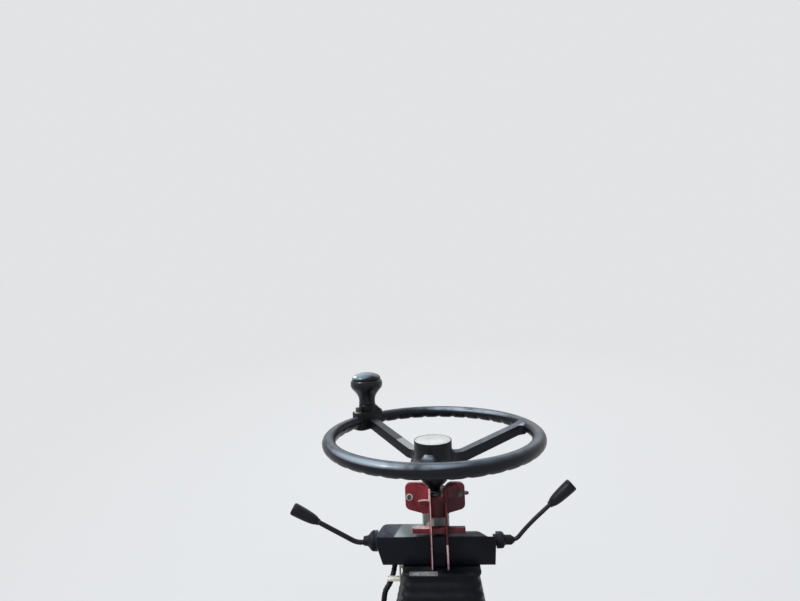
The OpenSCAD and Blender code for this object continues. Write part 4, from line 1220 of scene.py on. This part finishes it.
def makeConduit():
    knots = [columnPlace @ Vector(p) for p in conduit["column"]] + [Vector(p) for p in conduit["world"]]
    fine = []
    for i in range(len(knots) - 1):  # a smooth line through the knots
        a, b, c, d = (knots[max(0, min(len(knots) - 1, i + k))] for k in (-1, 0, 1, 2))
        for step in range(24):
            t = step / 24
            bent, twisted = 2 * a - 5 * b + 4 * c - d, 3 * b - a - 3 * c + d
            fine.append(0.5 * (2 * b + (c - a) * t + bent * t ** 2 + twisted * t ** 3))
    fine.append(knots[-1])
    route, walked = [fine[0]], 0.0
    for a, b in zip(fine, fine[1:]):
        walked += (b - a).length
        if walked >= conduit["ring"]:
            route.append(b)
            walked = 0.0
    route[-1] = fine[-1]
    piece = tube("conduit", route, conduit["r"], 16)
    openMesh(piece, "VERT")

    def inGroove(v):
        nearest = min(range(len(route)), key=lambda i: (route[i] - v.co).length_squared)
        return nearest % 3 == 0 and 0 < nearest < len(route) - 1

    pick(piece, "verts", inGroove)
    bpy.ops.transform.shrink_fatten(value=-conduit["groove"])
    closeMesh()
    finishPiece(piece, [gaiterRubber], None, 50)
    r, nutTop = gland["domeR"], gland["nutHigh"]
    nut = hexHead("nut", gland["nutR"], nutTop)
    dome = turn("dome", [(r - 0.0004, nutTop - 0.0002), (r, nutTop + 0.0004), (r, gland["high"] - 0.0018),
                         (r - 0.0006, gland["high"] - 0.0007), (r - 0.0018, gland["high"])], 32)
    finishPiece(join([nut, dome], "conduitGland"), [leverPlastic], "base", 30,
                Matrix.Translation(gland["spot"]))
    return piece


makeCollar()
for piece in (makeGaiter(), makeConduit()):
    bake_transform(piece)
print("gaiter made")


# Console and floor plate

consoleNodes = {
    "console_top": 0.0009, "console_left": 0.0009, "console_right": 0.0009, "console_front": 0.0007,
    "console_rear": 0.0007, "floor_plate": 0.0012}
strips = {
    "inner": (0.0945, 0.0865), "width": 0.012, "base": 0.36, "high": 0.004, "screwR": 0.0032,
    "screwHigh": 0.0014, "sideScrews": (-0.055, 0.0, 0.055), "endScrews": (-0.09, -0.03, 0.03, 0.09)}
cover = {
    "half": 0.075, "low": 0.07, "high": 0.19, "thick": 0.003, "foot": (0, -0.12, 0.006), "slope": 1.6321,
    "corner": 0.0155, "inset": 0.0125, "step": 0.0016, "sunk": 0.001, "screwIn": 0.007,
    "screws": (-0.084, 0, 0.084)}


def panHead(name, r, high):
    profile = ((0.92, 0), (1, 0.2), (0.93, 0.6), (0.7, 0.9), (0.42, 1), (0.4, 0.45), (0.1, 0.4))
    return turn(name, [(r * out, high * up) for out, up in profile], 20)


def makeStrips():
    s = strips
    bars = []
    (x, y), width, base, top = s["inner"], s["width"], s["base"], s["base"] + s["high"]
    outX, outY = x + width, y + width
    for low, high in (((-outX, y), (outX, outY)), ((-outX, -outY), (outX, -y)),
                      ((-outX, -y), (-x, y)), ((x, -y), (outX, y))):
        bar = startBox("bar", (*low, base), (*high, top))
        ease(bar, 0.0008, 2, 40)
        bars.append(bar)
    piece = join(bars, "gaiterStrips")
    finishPiece(piece, [stripPlastic], "base", 30)
    screw = panHead("stripScrews", s["screwR"], s["screwHigh"])
    spots = [(side * (x + width / 2), v) for side in (-1, 1) for v in s["sideScrews"]]
    spots += [(u, side * (y + width / 2)) for side in (-1, 1) for u in s["endScrews"]]
    heads = [copyTo(screw, Matrix.Translation((u, v, top))) for u, v in spots]
    bpy.data.objects.remove(screw)
    finishPiece(join(heads, "stripScrews"), [zincPlate], "base", 30, stands=False)


def makeConsole():
    for node, width in consoleNodes.items():
        words = node.split("_")
        piece = fromCad(words[0] + words[1].title(), node)
        ease(piece, width, 2, 40)
        finishPiece(piece, [powderCoat], "base", 30)
    c = cover
    half, thick, low, high = take(c, "half thick low high")
    plate = startBox("serviceCover", (-half, -thick, low), (half, 0, low + high))
    roundEdges(plate, c["corner"], 6, lambda e: abs(e.verts[0].co.y - e.verts[1].co.y) > 0.002)
    openMesh(plate)
    pick(plate, "faces", lambda f: f.normal.y < -0.9)
    bpy.ops.mesh.inset(thickness=c["inset"])
    bpy.ops.mesh.inset(thickness=c["step"])
    shift((0, c["sunk"], 0))
    closeMesh()
    ease(plate, 0.0006, 2, 25)
    slope = Matrix.Translation(c["foot"]) @ Matrix.Rotation(math.radians(-c["slope"]), 4, "X")
    finishPiece(plate, [powderCoat], "base", 30, slope)
    screw = panHead("coverScrews", 0.0036, 0.0015)
    heads = [copyTo(screw, slope @ onAxis(u, -thick, low + high / 2 + v, [(90, "X")]))
             for u in (c["screwIn"] - half, half - c["screwIn"]) for v in c["screws"]]
    bpy.data.objects.remove(screw)
    finishPiece(join(heads, "coverScrews"), [zincPlate], "base", 30, stands=False)


makeStrips()
makeConsole()
print("console made")

cadKeep = {"knob_stem": zincPlate, "column_foot": greyPaint, "valve_shelf": greyPaint, "pivot_ears": greyPaint,
           "pivot_pin": zincPlate, "steering_valve": castIron, "valve_gearset": castIron, "hose_elbows": zincPlate}
for node, finish in cadKeep.items():
    slots = frame["nodes"][node].data.materials
    slots.clear()
    slots.append(finish)
print("remaining solids painted")
